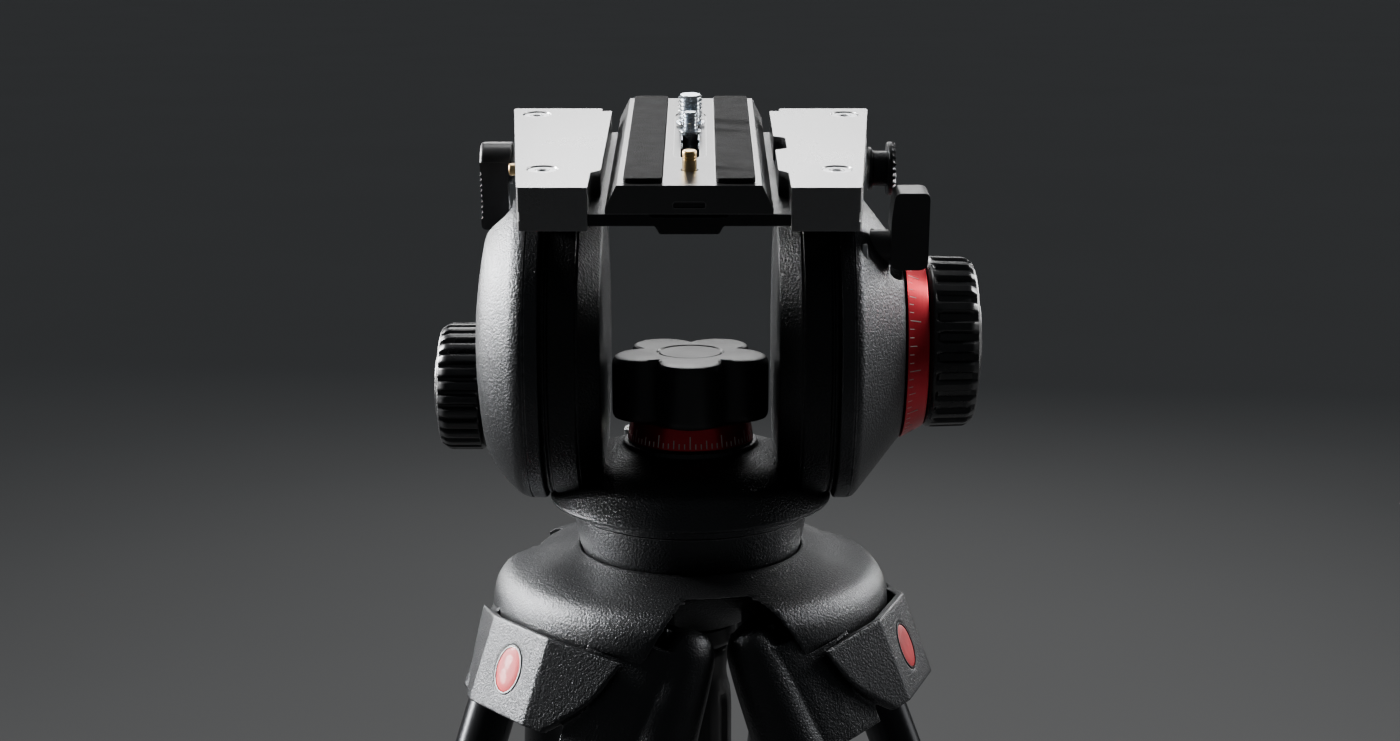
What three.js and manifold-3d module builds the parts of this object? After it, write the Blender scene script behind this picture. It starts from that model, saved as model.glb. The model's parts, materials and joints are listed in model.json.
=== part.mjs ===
// A camera tripod with a fluid head: three twin-tube legs with a mid-level spreader, a crown with a levelling
// bowl, and a bridge-type fluid head whose top platform tilts between two side housings.
// Millimetres, +Z up. The origin is on the floor, at the centre of the outline seen from above.
import * as THREE from "three";
import { mergeVertices } from "three/addons/utils/BufferGeometryUtils.js";
import Module from "manifold-3d";

const wasm = await Module();
wasm.setup();

// ---- driving dimensions ----

// Clearances
const GAP = 0.3; // between pieces that rest on one another
const RUNNING = 0.4; // between pieces that turn or slide in one another
const REACH = 400; // longer than any cut has to be

// Stance
const SPREAD = THREE.MathUtils.degToRad(22); // each leg from the vertical
const TILT = THREE.MathUtils.degToRad(6.84); // the platform leans forward
const FIRST_LEG = THREE.MathUtils.degToRad(-50); // azimuth of leg 1, from the front
const LEGS = 3;
const LEG_STEP = (2 * Math.PI) / LEGS;

// Tilting head, measured from the tilt axis
const YOKE_WINDOW = 65; // clear width between the two arms of the yoke
const ARM_OUTER = 53.5; // outer face of an arm
const ARM_RADIUS = 58.3;
const ARM_CHAMFER = 8.5;
const DISC_RADIUS = 60; // rim of a side housing
const DISC_WIDTH = 7;
const AXLE_RADIUS = 14;
const BLOCK_BOTTOM = 62;
const BLOCK_TOP = 77.5;
const BLOCK_INNER = 31.5;
const BLOCK_FRONT = 68; // forward of the tilt axis
const BLOCK_BACK = 64;
const BLOCK_FRONT_HALF = 59.3; // half width across the front corners
const BLOCK_BACK_HALF = 71;
const BRIDGE_THICKNESS = 6;
const RIB_HALF = 10.3;
const RIB_DEPTH = 1.4;
const NOTCH = { y: 1.5, half: 11.5, depth: 4.4 }; // in the inner edge of the right block
const GIB_STEP = { front: 22, back: 5, depth: 4 }; // where the blocks stand back from the plate

// Camera plate
const PLATE_LENGTH = 148.5;
const PLATE_BACK = 79.5; // rear end behind the tilt axis
const PLATE_TOP_WIDTH = 50;
const PLATE_BOTTOM_WIDTH = 60;
const PLATE_THICKNESS = 10.2;
const STRIP_INNER = 9.2;
const STRIP_OUTER = 22.8;
const STRIP_THICKNESS = 1.5;
const STRIP_END = 3; // bare plate beyond a strip
const SLOT_WIDTH = 7;
const SLOT_FRONT = -26;
const SLOT_BACK = 50;
const SCREW_HEAD_WIDTH = 13;
const SCREW_HEAD_DEPTH = 5.4;
const REAR_SCREW = { y: 30, radius: 4.76, flange: 6.4, stands: 10.5 };
const FRONT_SCREW = { y: 14.5, radius: 3.18, flange: 4.8, stands: 7 };
const SCREW_SHANK = 3;
const PIN_RADIUS = 2.6;
const PIN_Y = -46;
const PIN_STANDS = 7;

// Things on the platform's sides
const SIDE_SCREW_HEIGHT = 68; // axis of the lock hub and of the rosette
const PLATE_LOCK = { y: 9, outer: 79, radius: 8, paddle: 11.5, thickness: 6, reach: 24, scoop: 66 };
const ROSETTE = { y: 0, radius: 8, collar: 7, flange: 10, teeth: 24 };

// Left side housing and its knob
const LEFT_PROFILE = [
  [60, 61],
  [58.6, 64.5],
  [54, 69.4],
  [49, 73.5],
  [43, 77],
  [32, 79],
  [22, 80.4],
];
const COUNTER_KNOB = { z: -18.3, radius: 24.5, inner: 79.2, outer: 98 };

// Right side housing, tilt drag ring and knob
const RIGHT_CONE_RADIUS = 37;
const RIGHT_CONE_OUTER = 79.5;
const RING_WIDTH = 9;
const RING_SMALL_RADIUS = 32.5;
const DRAG_KNOB_RADIUS = 33;
const DRAG_KNOB_WIDTH = 21;
const DRAG_SPINDLE = 10;
const TILT_LOCK = { y: -20, z: 43, hub: 6.5, inner: 66, face: 73.6, outer: 87.5, tip: 22, foot: 7, half: 6.5, recess: 12 };

// Pan housing, pan ring and pan knob
const PAN_BASE = -66;
const PAN_RIM = -60.4;
const PAN_RIM_RADIUS = 54.7;
const PAN_BASE_RADIUS = 46;
const PAN_BOSS_TOP = -38.4;
const PAN_BOSS_RADIUS = 26;
const PAN_RING_RADIUS = 24.4;
const PAN_RING_HEIGHT = 9;
const STAR = { lobes: 5, radius: 31, waist: 20.5, bottom: -28.6, top: -4 };
const PAN_SPINDLE = 6;
const PAN_LOCK = { y: 42.7, z: -52.5, hub: 5.5, stem: 14.5, thickness: 5, paddle: 15, half: 6.5 };
const LEVEL = { x: -20, y: 31, radius: 7, floor: -53, top: -41.5 };

// Levelling ball and its clamp
const BALL_CENTRE = -66;
const BALL_RADIUS = 45;
const BALL_TOP = PAN_BASE - RUNNING;
const BALL_FLAT = 4; // height cut off the foot of the ball
const BALL_BOTTOM = BALL_CENTRE - BALL_RADIUS + BALL_FLAT;
const BOWL_RADIUS = BALL_RADIUS + 0.6;
const BOWL_WALL = 3.4;
const BOWL_OUTER = BOWL_RADIUS + BOWL_WALL;
const TRUNNION_RADIUS = 15;
const STUD_RADIUS = 5;
const DISH_RADIUS = 17.5;
const DISH_BOTTOM = BALL_CENTRE - BOWL_OUTER - 5.6;
const STUD_BOTTOM = DISH_BOTTOM - 27.4;
const HANDLE_TOP_RADIUS = 15;
const HANDLE_RADIUS = 16.5;
const HANDLE_LENGTH = 78;

// Crown
const CROWN_TOP = -80;
const CROWN_LIP = 1.6; // rim round the bowl's mouth
const CROWN_RADIUS = 77.5;
const CROWN_BOTTOM = -118;
const CROWN_WALL = 3.6;
const CROWN_DECK = 8;
const BOWL_DRAIN = 14;
const ARCH_HALF = 33;
const ARCH_TOP = -84.5;
const LUG_HALF = 27;
const LUG_WALL = 6;

// Legs
const PIVOT_HEIGHT = -105;
const BOLT_RADIUS = 4;
const TUBE_SPACING = 100; // between the two tubes of a leg
const TUBE_RADIUS = 10;
const TUBE_WALL = 1.3;
const SLEEVE_WALL = 2.3; // round the tube, at the sleeve's foot
const SLEEVE_TOP = 11; // above the pivot
const TUBE_SEAT = -13; // where the blind bore of a sleeve ends
const LEG_GAP = 4.41; // between the sleeves of neighbouring legs, level with the pivots
const CHEEK = { half: 10, top: 9, foot: 34 }; // the block between a sleeve and its lug, round the pivot
const COLLAR_LENGTH = 42;
const COLLAR_FRONT = 38;
const COLLAR_FLAT = 17;
const BAND_WALL = 3;
const BAND_TOP = 7;
const UPPER_LENGTH = 540;
const LOWER_RADIUS = 8.2;
const LOWER_WALL = 1.2;
const LOWER_TOP = 100;
const LEG_LENGTH = 670; // pivot to the centre of the foot's ball end
const FOOT_RADIUS = 15;
const CLAMP_TOP = 514;
const CLAMP_BOTTOM = 566;
const CLAMP_RADIUS = 12.3;
const CLAMP_BRIDGE_TOP = 522;
const CLAMP_BRIDGE_BOTTOM = 560;
const CLAMP_INNER = 7;
const CLAMP_FRONT = 8;
const LEVER = { pivot: 530, stand: 15, half: 27, length: 44, thickness: 5, pin: 4.2 };
const FOOT_TOP = 630;
const FOOT_SOCKET = 644;
const FOOT_BOTTOM = 652;

// Spreader
const HUB_RADIUS = 22;
const HUB_HEIGHT = 26;
const HUB_BORE = 9;
const SPREADER_PIVOT = { a: 580, u: -14 };
const SPREADER_DROP = THREE.MathUtils.degToRad(12);
const SPREADER_BAR = { half: 5, thickness: 8, eye: 5.5, fork: 8.6 };

// Sizes that follow from those above
const TUBE_X = TUBE_SPACING / 2;
const SLEEVE_FOOT_RADIUS = TUBE_RADIUS + GAP + SLEEVE_WALL;
const SLEEVE_PIVOT_RADIUS = TUBE_RADIUS + 0.9;
const HALF_STEP = LEG_STEP / 2;
const PIVOT_RADIUS = (SLEEVE_PIVOT_RADIUS + LEG_GAP / 2 + TUBE_X * Math.cos(HALF_STEP)) / Math.sin(HALF_STEP);

// Facets
const ROUND = 36;
const KNOB_ROUND = 24;
const SMALL_ROUND = 14;
const TUBE_ROUND = 10;
const TINY_ROUND = 8;

// ---- solids ----

// A closed three.js geometry as a manifold-3d solid.
function solid(geometry) {
  const bare = geometry.index ? geometry.toNonIndexed() : geometry.clone();
  bare.deleteAttribute("normal");
  bare.deleteAttribute("uv");
  const merged = mergeVertices(bare, 1e-4);
  const index = merged.index.array;
  const kept = [];
  for (let i = 0; i < index.length; i += 3) {
    const [a, b, c] = [index[i], index[i + 1], index[i + 2]];
    if (a !== b && b !== c && c !== a) kept.push(a, b, c);
  }
  const vertProperties = new Float32Array(merged.attributes.position.array);
  const make = (triVerts) => new wasm.Manifold(new wasm.Mesh({ numProp: 3, vertProperties, triVerts }));
  const made = make(new Uint32Array(kept));
  if (made.volume() > 0) return made;
  return make(new Uint32Array(kept.reverse()));
}

// A manifold-3d solid as a three.js geometry.
function geometryOf(made) {
  const { vertProperties, triVerts } = made.getMesh();
  const geometry = new THREE.BufferGeometry();
  geometry.setAttribute("position", new THREE.BufferAttribute(vertProperties.slice(), 3));
  geometry.setIndex(new THREE.BufferAttribute(triVerts.slice(), 1));
  const flat = geometry.toNonIndexed();
  flat.computeVertexNormals();
  return flat;
}

const join = (solids) => solids.reduce((whole, piece) => whole.add(piece));
const cut = (whole, cutters) => cutters.reduce((left, cutter) => left.subtract(cutter), whole);

// A block between two corners.
function block(x0, x1, y0, y1, z0, z1) {
  const geometry = new THREE.BoxGeometry(Math.abs(x1 - x0), Math.abs(y1 - y0), Math.abs(z1 - z0));
  return solid(geometry.translate((x0 + x1) / 2, (y0 + y1) / 2, (z0 + z1) / 2));
}

// A profile of [radius, height] points turned round the Z axis.
function turnedGeometry(profile, sides) {
  const points = profile.map(([radius, height]) => new THREE.Vector2(radius, height));
  return new THREE.LatheGeometry(points, sides).rotateX(Math.PI / 2);
}

const turned = (profile, sides = ROUND) => solid(turnedGeometry(profile, sides));

// The same round the X axis: the heights run along X.
const turnedAcross = (profile, sides = ROUND) => solid(turnedGeometry(profile, sides).rotateY(Math.PI / 2));

// A solid bar of round section along X, Y or Z.
function bar(axis, radius, from, to, centre = [0, 0], sides = SMALL_ROUND) {
  const profile = [
    [0, from],
    [radius, from],
    [radius, to],
    [0, to],
  ];
  const geometry = turnedGeometry(profile, sides);
  if (axis === "x") geometry.rotateY(Math.PI / 2).translate(0, centre[0], centre[1]);
  if (axis === "y") geometry.rotateX(-Math.PI / 2).translate(centre[0], 0, centre[1]);
  if (axis === "z") geometry.translate(centre[0], centre[1], 0);
  return solid(geometry);
}

// A tube open at both ends, along Z.
function pipe(outer, inner, from, to, sides = TUBE_ROUND) {
  return turned(
    [
      [inner, from],
      [outer, from],
      [outer, to],
      [inner, to],
      [inner, from],
    ],
    sides,
  );
}

// An outline in the XY plane between two heights.
function slab(points, z0, z1) {
  const shape = new THREE.Shape(points.map(([x, y]) => new THREE.Vector2(x, y)));
  const geometry = new THREE.ExtrudeGeometry(shape, { depth: z1 - z0, bevelEnabled: false });
  return solid(geometry.translate(0, 0, z0));
}

// Points along an arc of a circle, both ends included.
function arc(centre, radius, start, end, steps) {
  return Array.from({ length: steps + 1 }, (_, i) => {
    const angle = start + ((end - start) * i) / steps;
    return [centre[0] + radius * Math.cos(angle), centre[1] + radius * Math.sin(angle)];
  });
}

// The outline of a round gear-like edge, one ridge for each tooth.
function ridged(radius, depth, teeth) {
  return Array.from({ length: teeth * 2 }, (_, i) => {
    const angle = (i * Math.PI) / teeth;
    const r = i % 2 ? radius - depth : radius;
    return [r * Math.cos(angle), r * Math.sin(angle)];
  });
}

// ---- materials ----

const finish = (color, roughness, metalness) => new THREE.MeshStandardMaterial({ color, roughness, metalness });
const BLACK_ALLOY = finish(0x1b1c1e, 0.45, 0.6);
const BLACK_PLASTIC = finish(0x101113, 0.4, 0);
const BLACK_TUBE = finish(0x17181a, 0.3, 0.8);
const RUBBER = finish(0x0c0c0d, 0.85, 0);
const STEEL = finish(0xb9bcbf, 0.3, 1);
const BRASS = finish(0xb08d4a, 0.35, 1);
const RED_RING = finish(0xc2182b, 0.35, 0.7);

// A named mesh made of one solid.
function piece(name, made, material) {
  const mesh = new THREE.Mesh(geometryOf(made), material);
  mesh.name = name;
  return mesh;
}

// A group of pieces, moved and turned as one.
function assembly(pieces, { position = [0, 0, 0], rotation = [0, 0, 0] } = {}) {
  const group = new THREE.Group();
  group.add(...pieces);
  group.position.set(...position);
  group.rotation.set(...rotation);
  return group;
}

// ---- camera plate and platform ----

const PLATE_TOP = BLOCK_BOTTOM + BRIDGE_THICKNESS + GAP + PLATE_THICKNESS;
const PLATE_BOTTOM = PLATE_TOP - PLATE_THICKNESS;
const PLATE_FRONT = PLATE_BACK - PLATE_LENGTH;

// A screw that stands up through the plate's slot, its slotted head held in the plate's underside groove.
function cameraScrew(name, { y, radius, flange, stands }, material) {
  const head = PLATE_BOTTOM + RUNNING;
  const flangeTop = PLATE_TOP + 1.6;
  const profile = [
    [0, head],
    [(SCREW_HEAD_WIDTH - 2 * RUNNING) / 2, head],
    [(SCREW_HEAD_WIDTH - 2 * RUNNING) / 2, head + SCREW_HEAD_DEPTH - 2 * RUNNING],
    [SCREW_SHANK, head + SCREW_HEAD_DEPTH - 2 * RUNNING],
    [SCREW_SHANK, PLATE_TOP + GAP],
    [flange, PLATE_TOP + GAP],
    [flange, flangeTop],
    [radius, flangeTop],
    [radius, flangeTop + stands - 1],
    [radius - 1, flangeTop + stands],
    [0, flangeTop + stands],
  ];
  const mesh = piece(name, turned(profile, SMALL_ROUND), material);
  mesh.position.y = y;
  return mesh;
}

function cameraPlate() {
  const half = (z) => {
    const share = (PLATE_TOP - z) / PLATE_THICKNESS;
    return (PLATE_TOP_WIDTH + (PLATE_BOTTOM_WIDTH - PLATE_TOP_WIDTH) * share) / 2;
  };
  const foot = PLATE_BOTTOM + 2;
  const outline = [
    [-half(foot), PLATE_BOTTOM],
    [half(foot), PLATE_BOTTOM],
    [half(foot), foot],
    [half(PLATE_TOP), PLATE_TOP],
    [-half(PLATE_TOP), PLATE_TOP],
    [-half(foot), foot],
  ];
  const shape = new THREE.Shape(outline.map(([x, z]) => new THREE.Vector2(x, z)));
  const geometry = new THREE.ExtrudeGeometry(shape, { depth: PLATE_LENGTH, bevelEnabled: false });
  const body = solid(geometry.rotateX(Math.PI / 2).translate(0, PLATE_BACK, 0));
  const grooveHalf = SCREW_HEAD_WIDTH / 2;
  return cut(body, [
    block(-SLOT_WIDTH / 2, SLOT_WIDTH / 2, SLOT_FRONT, SLOT_BACK, 0, REACH),
    block(-grooveHalf, grooveHalf, SLOT_FRONT - 3, SLOT_BACK + 3, 0, PLATE_BOTTOM + SCREW_HEAD_DEPTH),
    bar("z", PIN_RADIUS + GAP, PLATE_TOP - 5, PLATE_TOP + 1, [0, PIN_Y], TUBE_ROUND),
  ]);
}

function rubberStrip(side) {
  const z = PLATE_TOP + GAP;
  const [front, back] = [PLATE_FRONT + STRIP_END, PLATE_BACK - STRIP_END];
  return block(side * STRIP_INNER, side * STRIP_OUTER, front, back, z, z + STRIP_THICKNESS);
}

// The castings under the camera plate: two flat-topped blocks joined by a low bridge.
function topPlatform() {
  const stepped = BLOCK_INNER + GIB_STEP.depth;
  const outline = (inside) => [
    [BLOCK_FRONT_HALF, -BLOCK_FRONT],
    [BLOCK_BACK_HALF, BLOCK_BACK],
    [stepped, BLOCK_BACK],
    [stepped, BLOCK_BACK - GIB_STEP.back],
    [BLOCK_INNER, BLOCK_BACK - GIB_STEP.back],
    ...inside,
    [BLOCK_INNER, -BLOCK_FRONT + GIB_STEP.front + GIB_STEP.depth],
    [stepped, -BLOCK_FRONT + GIB_STEP.front],
    [stepped, -BLOCK_FRONT],
  ];
  const notch = [
    [BLOCK_INNER, NOTCH.y + NOTCH.half],
    [BLOCK_INNER + NOTCH.depth, NOTCH.y + NOTCH.half - 2],
    [BLOCK_INNER + NOTCH.depth, NOTCH.y - NOTCH.half + 2],
    [BLOCK_INNER, NOTCH.y - NOTCH.half],
  ];
  const mirrored = outline([]).map(([x, y]) => [-x, y]).reverse();
  const bridgeHalf = stepped + 0.5;
  const bridgeTop = BLOCK_BOTTOM + BRIDGE_THICKNESS;
  return join([
    slab(outline(notch), BLOCK_BOTTOM, BLOCK_TOP),
    slab(mirrored, BLOCK_BOTTOM, BLOCK_TOP),
    block(-bridgeHalf, bridgeHalf, -BLOCK_FRONT, BLOCK_BACK, BLOCK_BOTTOM, bridgeTop),
    block(-RIB_HALF, RIB_HALF, -BLOCK_FRONT, BLOCK_BACK, BLOCK_BOTTOM - RIB_DEPTH, BLOCK_BOTTOM + 1),
  ]);
}

// The outer face of a block at a place along it.
function blockSide(y) {
  const share = (y + BLOCK_FRONT) / (BLOCK_FRONT + BLOCK_BACK);
  return BLOCK_FRONT_HALF + (BLOCK_BACK_HALF - BLOCK_FRONT_HALF) * share;
}

// The lever that clamps the camera plate: a hub across the head with a paddle hanging from it.
function plateLockLever() {
  const { y, outer, radius, paddle, thickness, reach } = PLATE_LOCK;
  const inner = blockSide(y + radius) + GAP;
  const front = y - radius;
  const tip = SIDE_SCREW_HEIGHT - reach;
  const hub = bar("x", radius, -outer, -inner, [y, SIDE_SCREW_HEIGHT]);
  return join([hub, block(-outer, -outer + paddle, front, front + thickness, tip, SIDE_SCREW_HEIGHT)]);
}

// The toothed boss that takes the pan bar.
function panBarRosette() {
  const { y, radius, collar, flange, teeth } = ROSETTE;
  const inner = blockSide(y + flange) + GAP;
  const shank = bar("x", radius, inner, inner + collar, [y, SIDE_SCREW_HEIGHT]);
  const geometry = new THREE.ExtrudeGeometry(
    new THREE.Shape(ridged(flange, 1.4, teeth).map(([a, b]) => new THREE.Vector2(a, b))),
    { depth: 3.4, bevelEnabled: false },
  );
  geometry.rotateY(Math.PI / 2).translate(inner + collar - 0.5, y, SIDE_SCREW_HEIGHT);
  return join([shank, solid(geometry)]);
}

// ---- side housings ----

// Where a side housing stops short of the platform block above it.
const PAD_TOP = BLOCK_BOTTOM - GAP;
const DISC_INNER = ARM_OUTER + 1;
const DISC_OUTER = DISC_INNER + DISC_WIDTH;

// The pad on a disc's rim that carries the platform block, for the side at +X.
function discPad() {
  return block(DISC_INNER, blockSide(-24) - 0.5, -24, 24, DISC_RADIUS - 8, PAD_TOP);
}

// The blind socket in a housing that its axle is pressed into.
function axleSocket() {
  return bar("x", AXLE_RADIUS + GAP, DISC_INNER - 1, DISC_OUTER + 2, [0, 0], KNOB_ROUND);
}

function leftSideHousing() {
  const profile = [
    [0, DISC_INNER],
    [DISC_RADIUS, DISC_INNER],
    ...LEFT_PROFILE.map(([radius, x]) => [radius, x + DISC_OUTER - 61.5]),
    [0, LEFT_PROFILE.at(-1)[1] + DISC_OUTER - 61.5],
  ];
  const { z, radius, inner, outer } = COUNTER_KNOB;
  const { y, reach, scoop } = PLATE_LOCK;
  const whole = join([turnedAcross(profile), discPad()]);
  const leverScoop = bar("x", reach + 3, scoop, REACH, [y, SIDE_SCREW_HEIGHT], KNOB_ROUND);
  const mirrored = cut(whole, [
    bar("x", radius + RUNNING, inner - RUNNING, outer, [0, z], KNOB_ROUND),
    bar("x", 6 + RUNNING, inner - 8, outer, [0, z], TUBE_ROUND),
    leverScoop,
    axleSocket(),
  ]);
  return mirrored.mirror([1, 0, 0]);
}

// A knob with a ribbed edge: its spindle goes into the housing behind it.
function ribbedKnob({ radius, depth, ribs, from, to, spindle, spindleLength }) {
  const body = new THREE.ExtrudeGeometry(
    new THREE.Shape(ridged(radius, depth, ribs).map(([a, b]) => new THREE.Vector2(a, b))),
    { depth: to - from, bevelEnabled: false },
  );
  body.rotateY(Math.PI / 2).translate(from, 0, 0);
  const face = turnedAcross(
    [
      [0, to - 0.5],
      [radius - depth - 1, to - 0.5],
      [radius - depth - 3.5, to + 2],
      [0, to + 2],
    ],
    KNOB_ROUND,
  );
  return join([solid(body), face, bar("x", spindle, from - spindleLength, from + 1, [0, 0], TUBE_ROUND)]);
}

function counterbalanceKnob() {
  const { radius, inner, outer } = COUNTER_KNOB;
  const sizes = { radius, depth: 1.6, ribs: 22, from: inner, to: outer - 2, spindle: 6, spindleLength: 7 };
  return ribbedKnob(sizes).mirror([1, 0, 0]);
}

function rightSideHousing() {
  const profile = [
    [0, DISC_INNER],
    [DISC_RADIUS, DISC_INNER],
    [DISC_RADIUS, DISC_OUTER],
    [RIGHT_CONE_RADIUS, RIGHT_CONE_OUTER],
    [0, RIGHT_CONE_OUTER],
  ];
  const { y, z, hub, inner, face, recess } = TILT_LOCK;
  const whole = join([turnedAcross(profile), discPad()]);
  return cut(whole, [
    bar("x", hub + RUNNING, inner - RUNNING, REACH, [y, z]),
    bar("x", recess, face - RUNNING, REACH, [y, z], KNOB_ROUND),
    bar("x", DRAG_SPINDLE + RUNNING, RIGHT_CONE_OUTER - 8, REACH, [0, 0], SMALL_ROUND),
    axleSocket(),
  ]);
}

const RING_INNER = RIGHT_CONE_OUTER + RUNNING;
const RING_OUTER = RING_INNER + RING_WIDTH;

function tiltDragRing() {
  const bore = DRAG_SPINDLE + RUNNING;
  return turnedAcross([
    [bore, RING_INNER],
    [RIGHT_CONE_RADIUS, RING_INNER],
    [RING_SMALL_RADIUS, RING_OUTER],
    [bore, RING_OUTER],
    [bore, RING_INNER],
  ]);
}

function tiltDragKnob() {
  return ribbedKnob({
    radius: DRAG_KNOB_RADIUS,
    depth: 1.5,
    ribs: 24,
    from: RING_OUTER + GAP,
    to: RING_OUTER + DRAG_KNOB_WIDTH - 2,
    spindle: DRAG_SPINDLE,
    spindleLength: RING_WIDTH + 7,
  });
}

function tiltLockLever() {
  const { hub, inner, face, outer, tip, foot, half } = TILT_LOCK;
  const boss = bar("x", hub, inner, face + 4, [0, 0]);
  return join([boss, block(face, outer, -half, half, -foot, tip)]);
}

// An axle between an arm of the yoke and a side housing.
function tiltAxle(side) {
  const start = side * (YOKE_WINDOW / 2 + 4);
  const end = side * (DISC_OUTER + 1.6);
  return bar("x", AXLE_RADIUS, Math.min(start, end), Math.max(start, end), [0, 0], KNOB_ROUND);
}

// ---- yoke and pan ----

const PAN_RING_BOTTOM = PAN_BOSS_TOP + GAP;
const PAN_RING_TOP = PAN_RING_BOTTOM + PAN_RING_HEIGHT;

// The two arms and the pan housing under them, cast in one.
function yoke() {
  const windowHalf = YOKE_WINDOW / 2;
  const armProfile = [
    [0, windowHalf],
    [ARM_RADIUS - ARM_CHAMFER, windowHalf],
    [ARM_RADIUS, windowHalf + ARM_CHAMFER],
    [ARM_RADIUS, ARM_OUTER],
    [0, ARM_OUTER],
  ];
  const arm = turnedAcross(armProfile);
  const housing = turned([
    [0, PAN_BASE],
    [PAN_BASE_RADIUS, PAN_BASE],
    [PAN_BASE_RADIUS, PAN_RIM - 2.6],
    [PAN_RIM_RADIUS, PAN_RIM],
    [48, -50],
    [40, -44.5],
    [PAN_BOSS_RADIUS, -40.6],
    [PAN_BOSS_RADIUS, PAN_BOSS_TOP],
    [0, PAN_BOSS_TOP],
  ]);
  const { y, z, hub } = PAN_LOCK;
  return cut(join([arm, arm.mirror([1, 0, 0]), housing]), [
    bar("x", AXLE_RADIUS + RUNNING, -REACH, -windowHalf - 3.6, [0, 0], KNOB_ROUND),
    bar("x", AXLE_RADIUS + RUNNING, windowHalf + 3.6, REACH, [0, 0], KNOB_ROUND),
    bar("z", TRUNNION_RADIUS + RUNNING, PAN_BASE - 1, PAN_BASE + 14, [0, 0], KNOB_ROUND),
    bar("z", PAN_SPINDLE + RUNNING, PAN_BOSS_TOP - 8, 0, [0, 0], TUBE_ROUND),
    bar("y", hub + RUNNING, y - RUNNING, REACH, [0, z], SMALL_ROUND),
    bar("z", LEVEL.radius + GAP, LEVEL.floor - GAP, 0, [LEVEL.x, LEVEL.y], SMALL_ROUND),
  ]);
}

function panDragRing() {
  const bore = PAN_SPINDLE + RUNNING;
  return turned([
    [bore, PAN_RING_BOTTOM],
    [PAN_RING_RADIUS, PAN_RING_BOTTOM],
    [PAN_RING_RADIUS - 1.4, PAN_RING_TOP],
    [bore, PAN_RING_TOP],
    [bore, PAN_RING_BOTTOM],
  ]);
}

// A five-lobed knob: round lobes joined by hollows.
function panDragKnob() {
  const { lobes, radius, waist, bottom, top } = STAR;
  const points = [];
  const steps = 8;
  for (let i = 0; i < lobes * steps; i += 1) {
    const angle = (i * 2 * Math.PI) / (lobes * steps) - Math.PI / 2;
    const wave = (1 + Math.cos((i * 2 * Math.PI) / steps)) / 2;
    const r = waist + (radius - waist) * Math.sqrt(wave);
    points.push([r * Math.cos(angle), r * Math.sin(angle)]);
  }
  return join([
    slab(points, bottom, top),
    bar("z", PAN_SPINDLE, PAN_BOSS_TOP - 7, bottom + 1, [0, 0], TUBE_ROUND),
  ]);
}

function bubbleLevel() {
  return bar("z", LEVEL.radius, LEVEL.floor, LEVEL.top, [LEVEL.x, LEVEL.y]);
}

// The lever at the back that locks the pan.
function panLockLever() {
  const { hub, stem, thickness, paddle, half } = PAN_LOCK;
  return join([bar("y", hub, 0, stem + 1), block(-half, half, stem, stem + thickness, -paddle, half)]);
}

// ---- levelling ball, crown ----

// Points on a sphere about the ball's centre, between two heights, from the lower to the upper.
function sphereArc(radius, from, to, steps) {
  const low = Math.asin((from - BALL_CENTRE) / radius);
  const high = Math.asin(Math.min(1, (to - BALL_CENTRE) / radius));
  return arc([0, BALL_CENTRE], radius, low, high, steps);
}

function halfBall() {
  return join([
    turned([[0, BALL_BOTTOM], ...sphereArc(BALL_RADIUS, BALL_BOTTOM, BALL_TOP, 5), [0, BALL_TOP]]),
    bar("z", TRUNNION_RADIUS, BALL_TOP - 1, PAN_BASE + 13, [0, 0], KNOB_ROUND),
    bar("z", STUD_RADIUS, STUD_BOTTOM, BALL_BOTTOM + 1, [0, 0], TUBE_ROUND),
  ]);
}

function clampDish() {
  const bore = STUD_RADIUS + RUNNING;
  const seat = BOWL_OUTER + RUNNING;
  const height = (radius) => BALL_CENTRE - Math.sqrt(seat * seat - radius * radius);
  const top = [DISH_RADIUS, DISH_RADIUS * 0.75, bore + 3, bore].map((r) => [r, height(r)]);
  return turned([[bore, DISH_BOTTOM], [DISH_RADIUS, DISH_BOTTOM], ...top, [bore, DISH_BOTTOM]], KNOB_ROUND);
}

function clampHandle() {
  const top = DISH_BOTTOM - GAP;
  const bottom = top - HANDLE_LENGTH;
  const bore = STUD_RADIUS + RUNNING;
  const boreEnd = STUD_BOTTOM - 1;
  return turned(
    [
      [0, bottom],
      [HANDLE_RADIUS - 4, bottom],
      [HANDLE_RADIUS, bottom + 4],
      [HANDLE_RADIUS, top - 20],
      [HANDLE_TOP_RADIUS, top - 14],
      [HANDLE_TOP_RADIUS, top],
      [bore, top],
      [bore, boreEnd],
      [0, boreEnd],
    ],
    KNOB_ROUND,
  );
}

// Turns a solid about the Z axis to the azimuth of a leg, or part of a step further.
const toAzimuth = (made, steps) => made.rotate([0, 0, THREE.MathUtils.radToDeg(FIRST_LEG + steps * LEG_STEP)]);

// An arch between two legs, as a tunnel along -Y.
function archTunnel() {
  const rise = ARCH_HALF * 0.75;
  const start = ARCH_TOP - rise;
  const top = Array.from({ length: 11 }, (_, i) => {
    const angle = (Math.PI * i) / 10;
    return new THREE.Vector2(ARCH_HALF * Math.cos(angle), start + rise * Math.sin(angle));
  });
  const low = CROWN_BOTTOM - 2;
  const shape = new THREE.Shape([...top, new THREE.Vector2(-ARCH_HALF, low), new THREE.Vector2(ARCH_HALF, low)]);
  const geometry = new THREE.ExtrudeGeometry(shape, { depth: 40, bevelEnabled: false });
  return solid(geometry.rotateX(Math.PI / 2).translate(0, -BOWL_OUTER - 3, 0));
}

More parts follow.
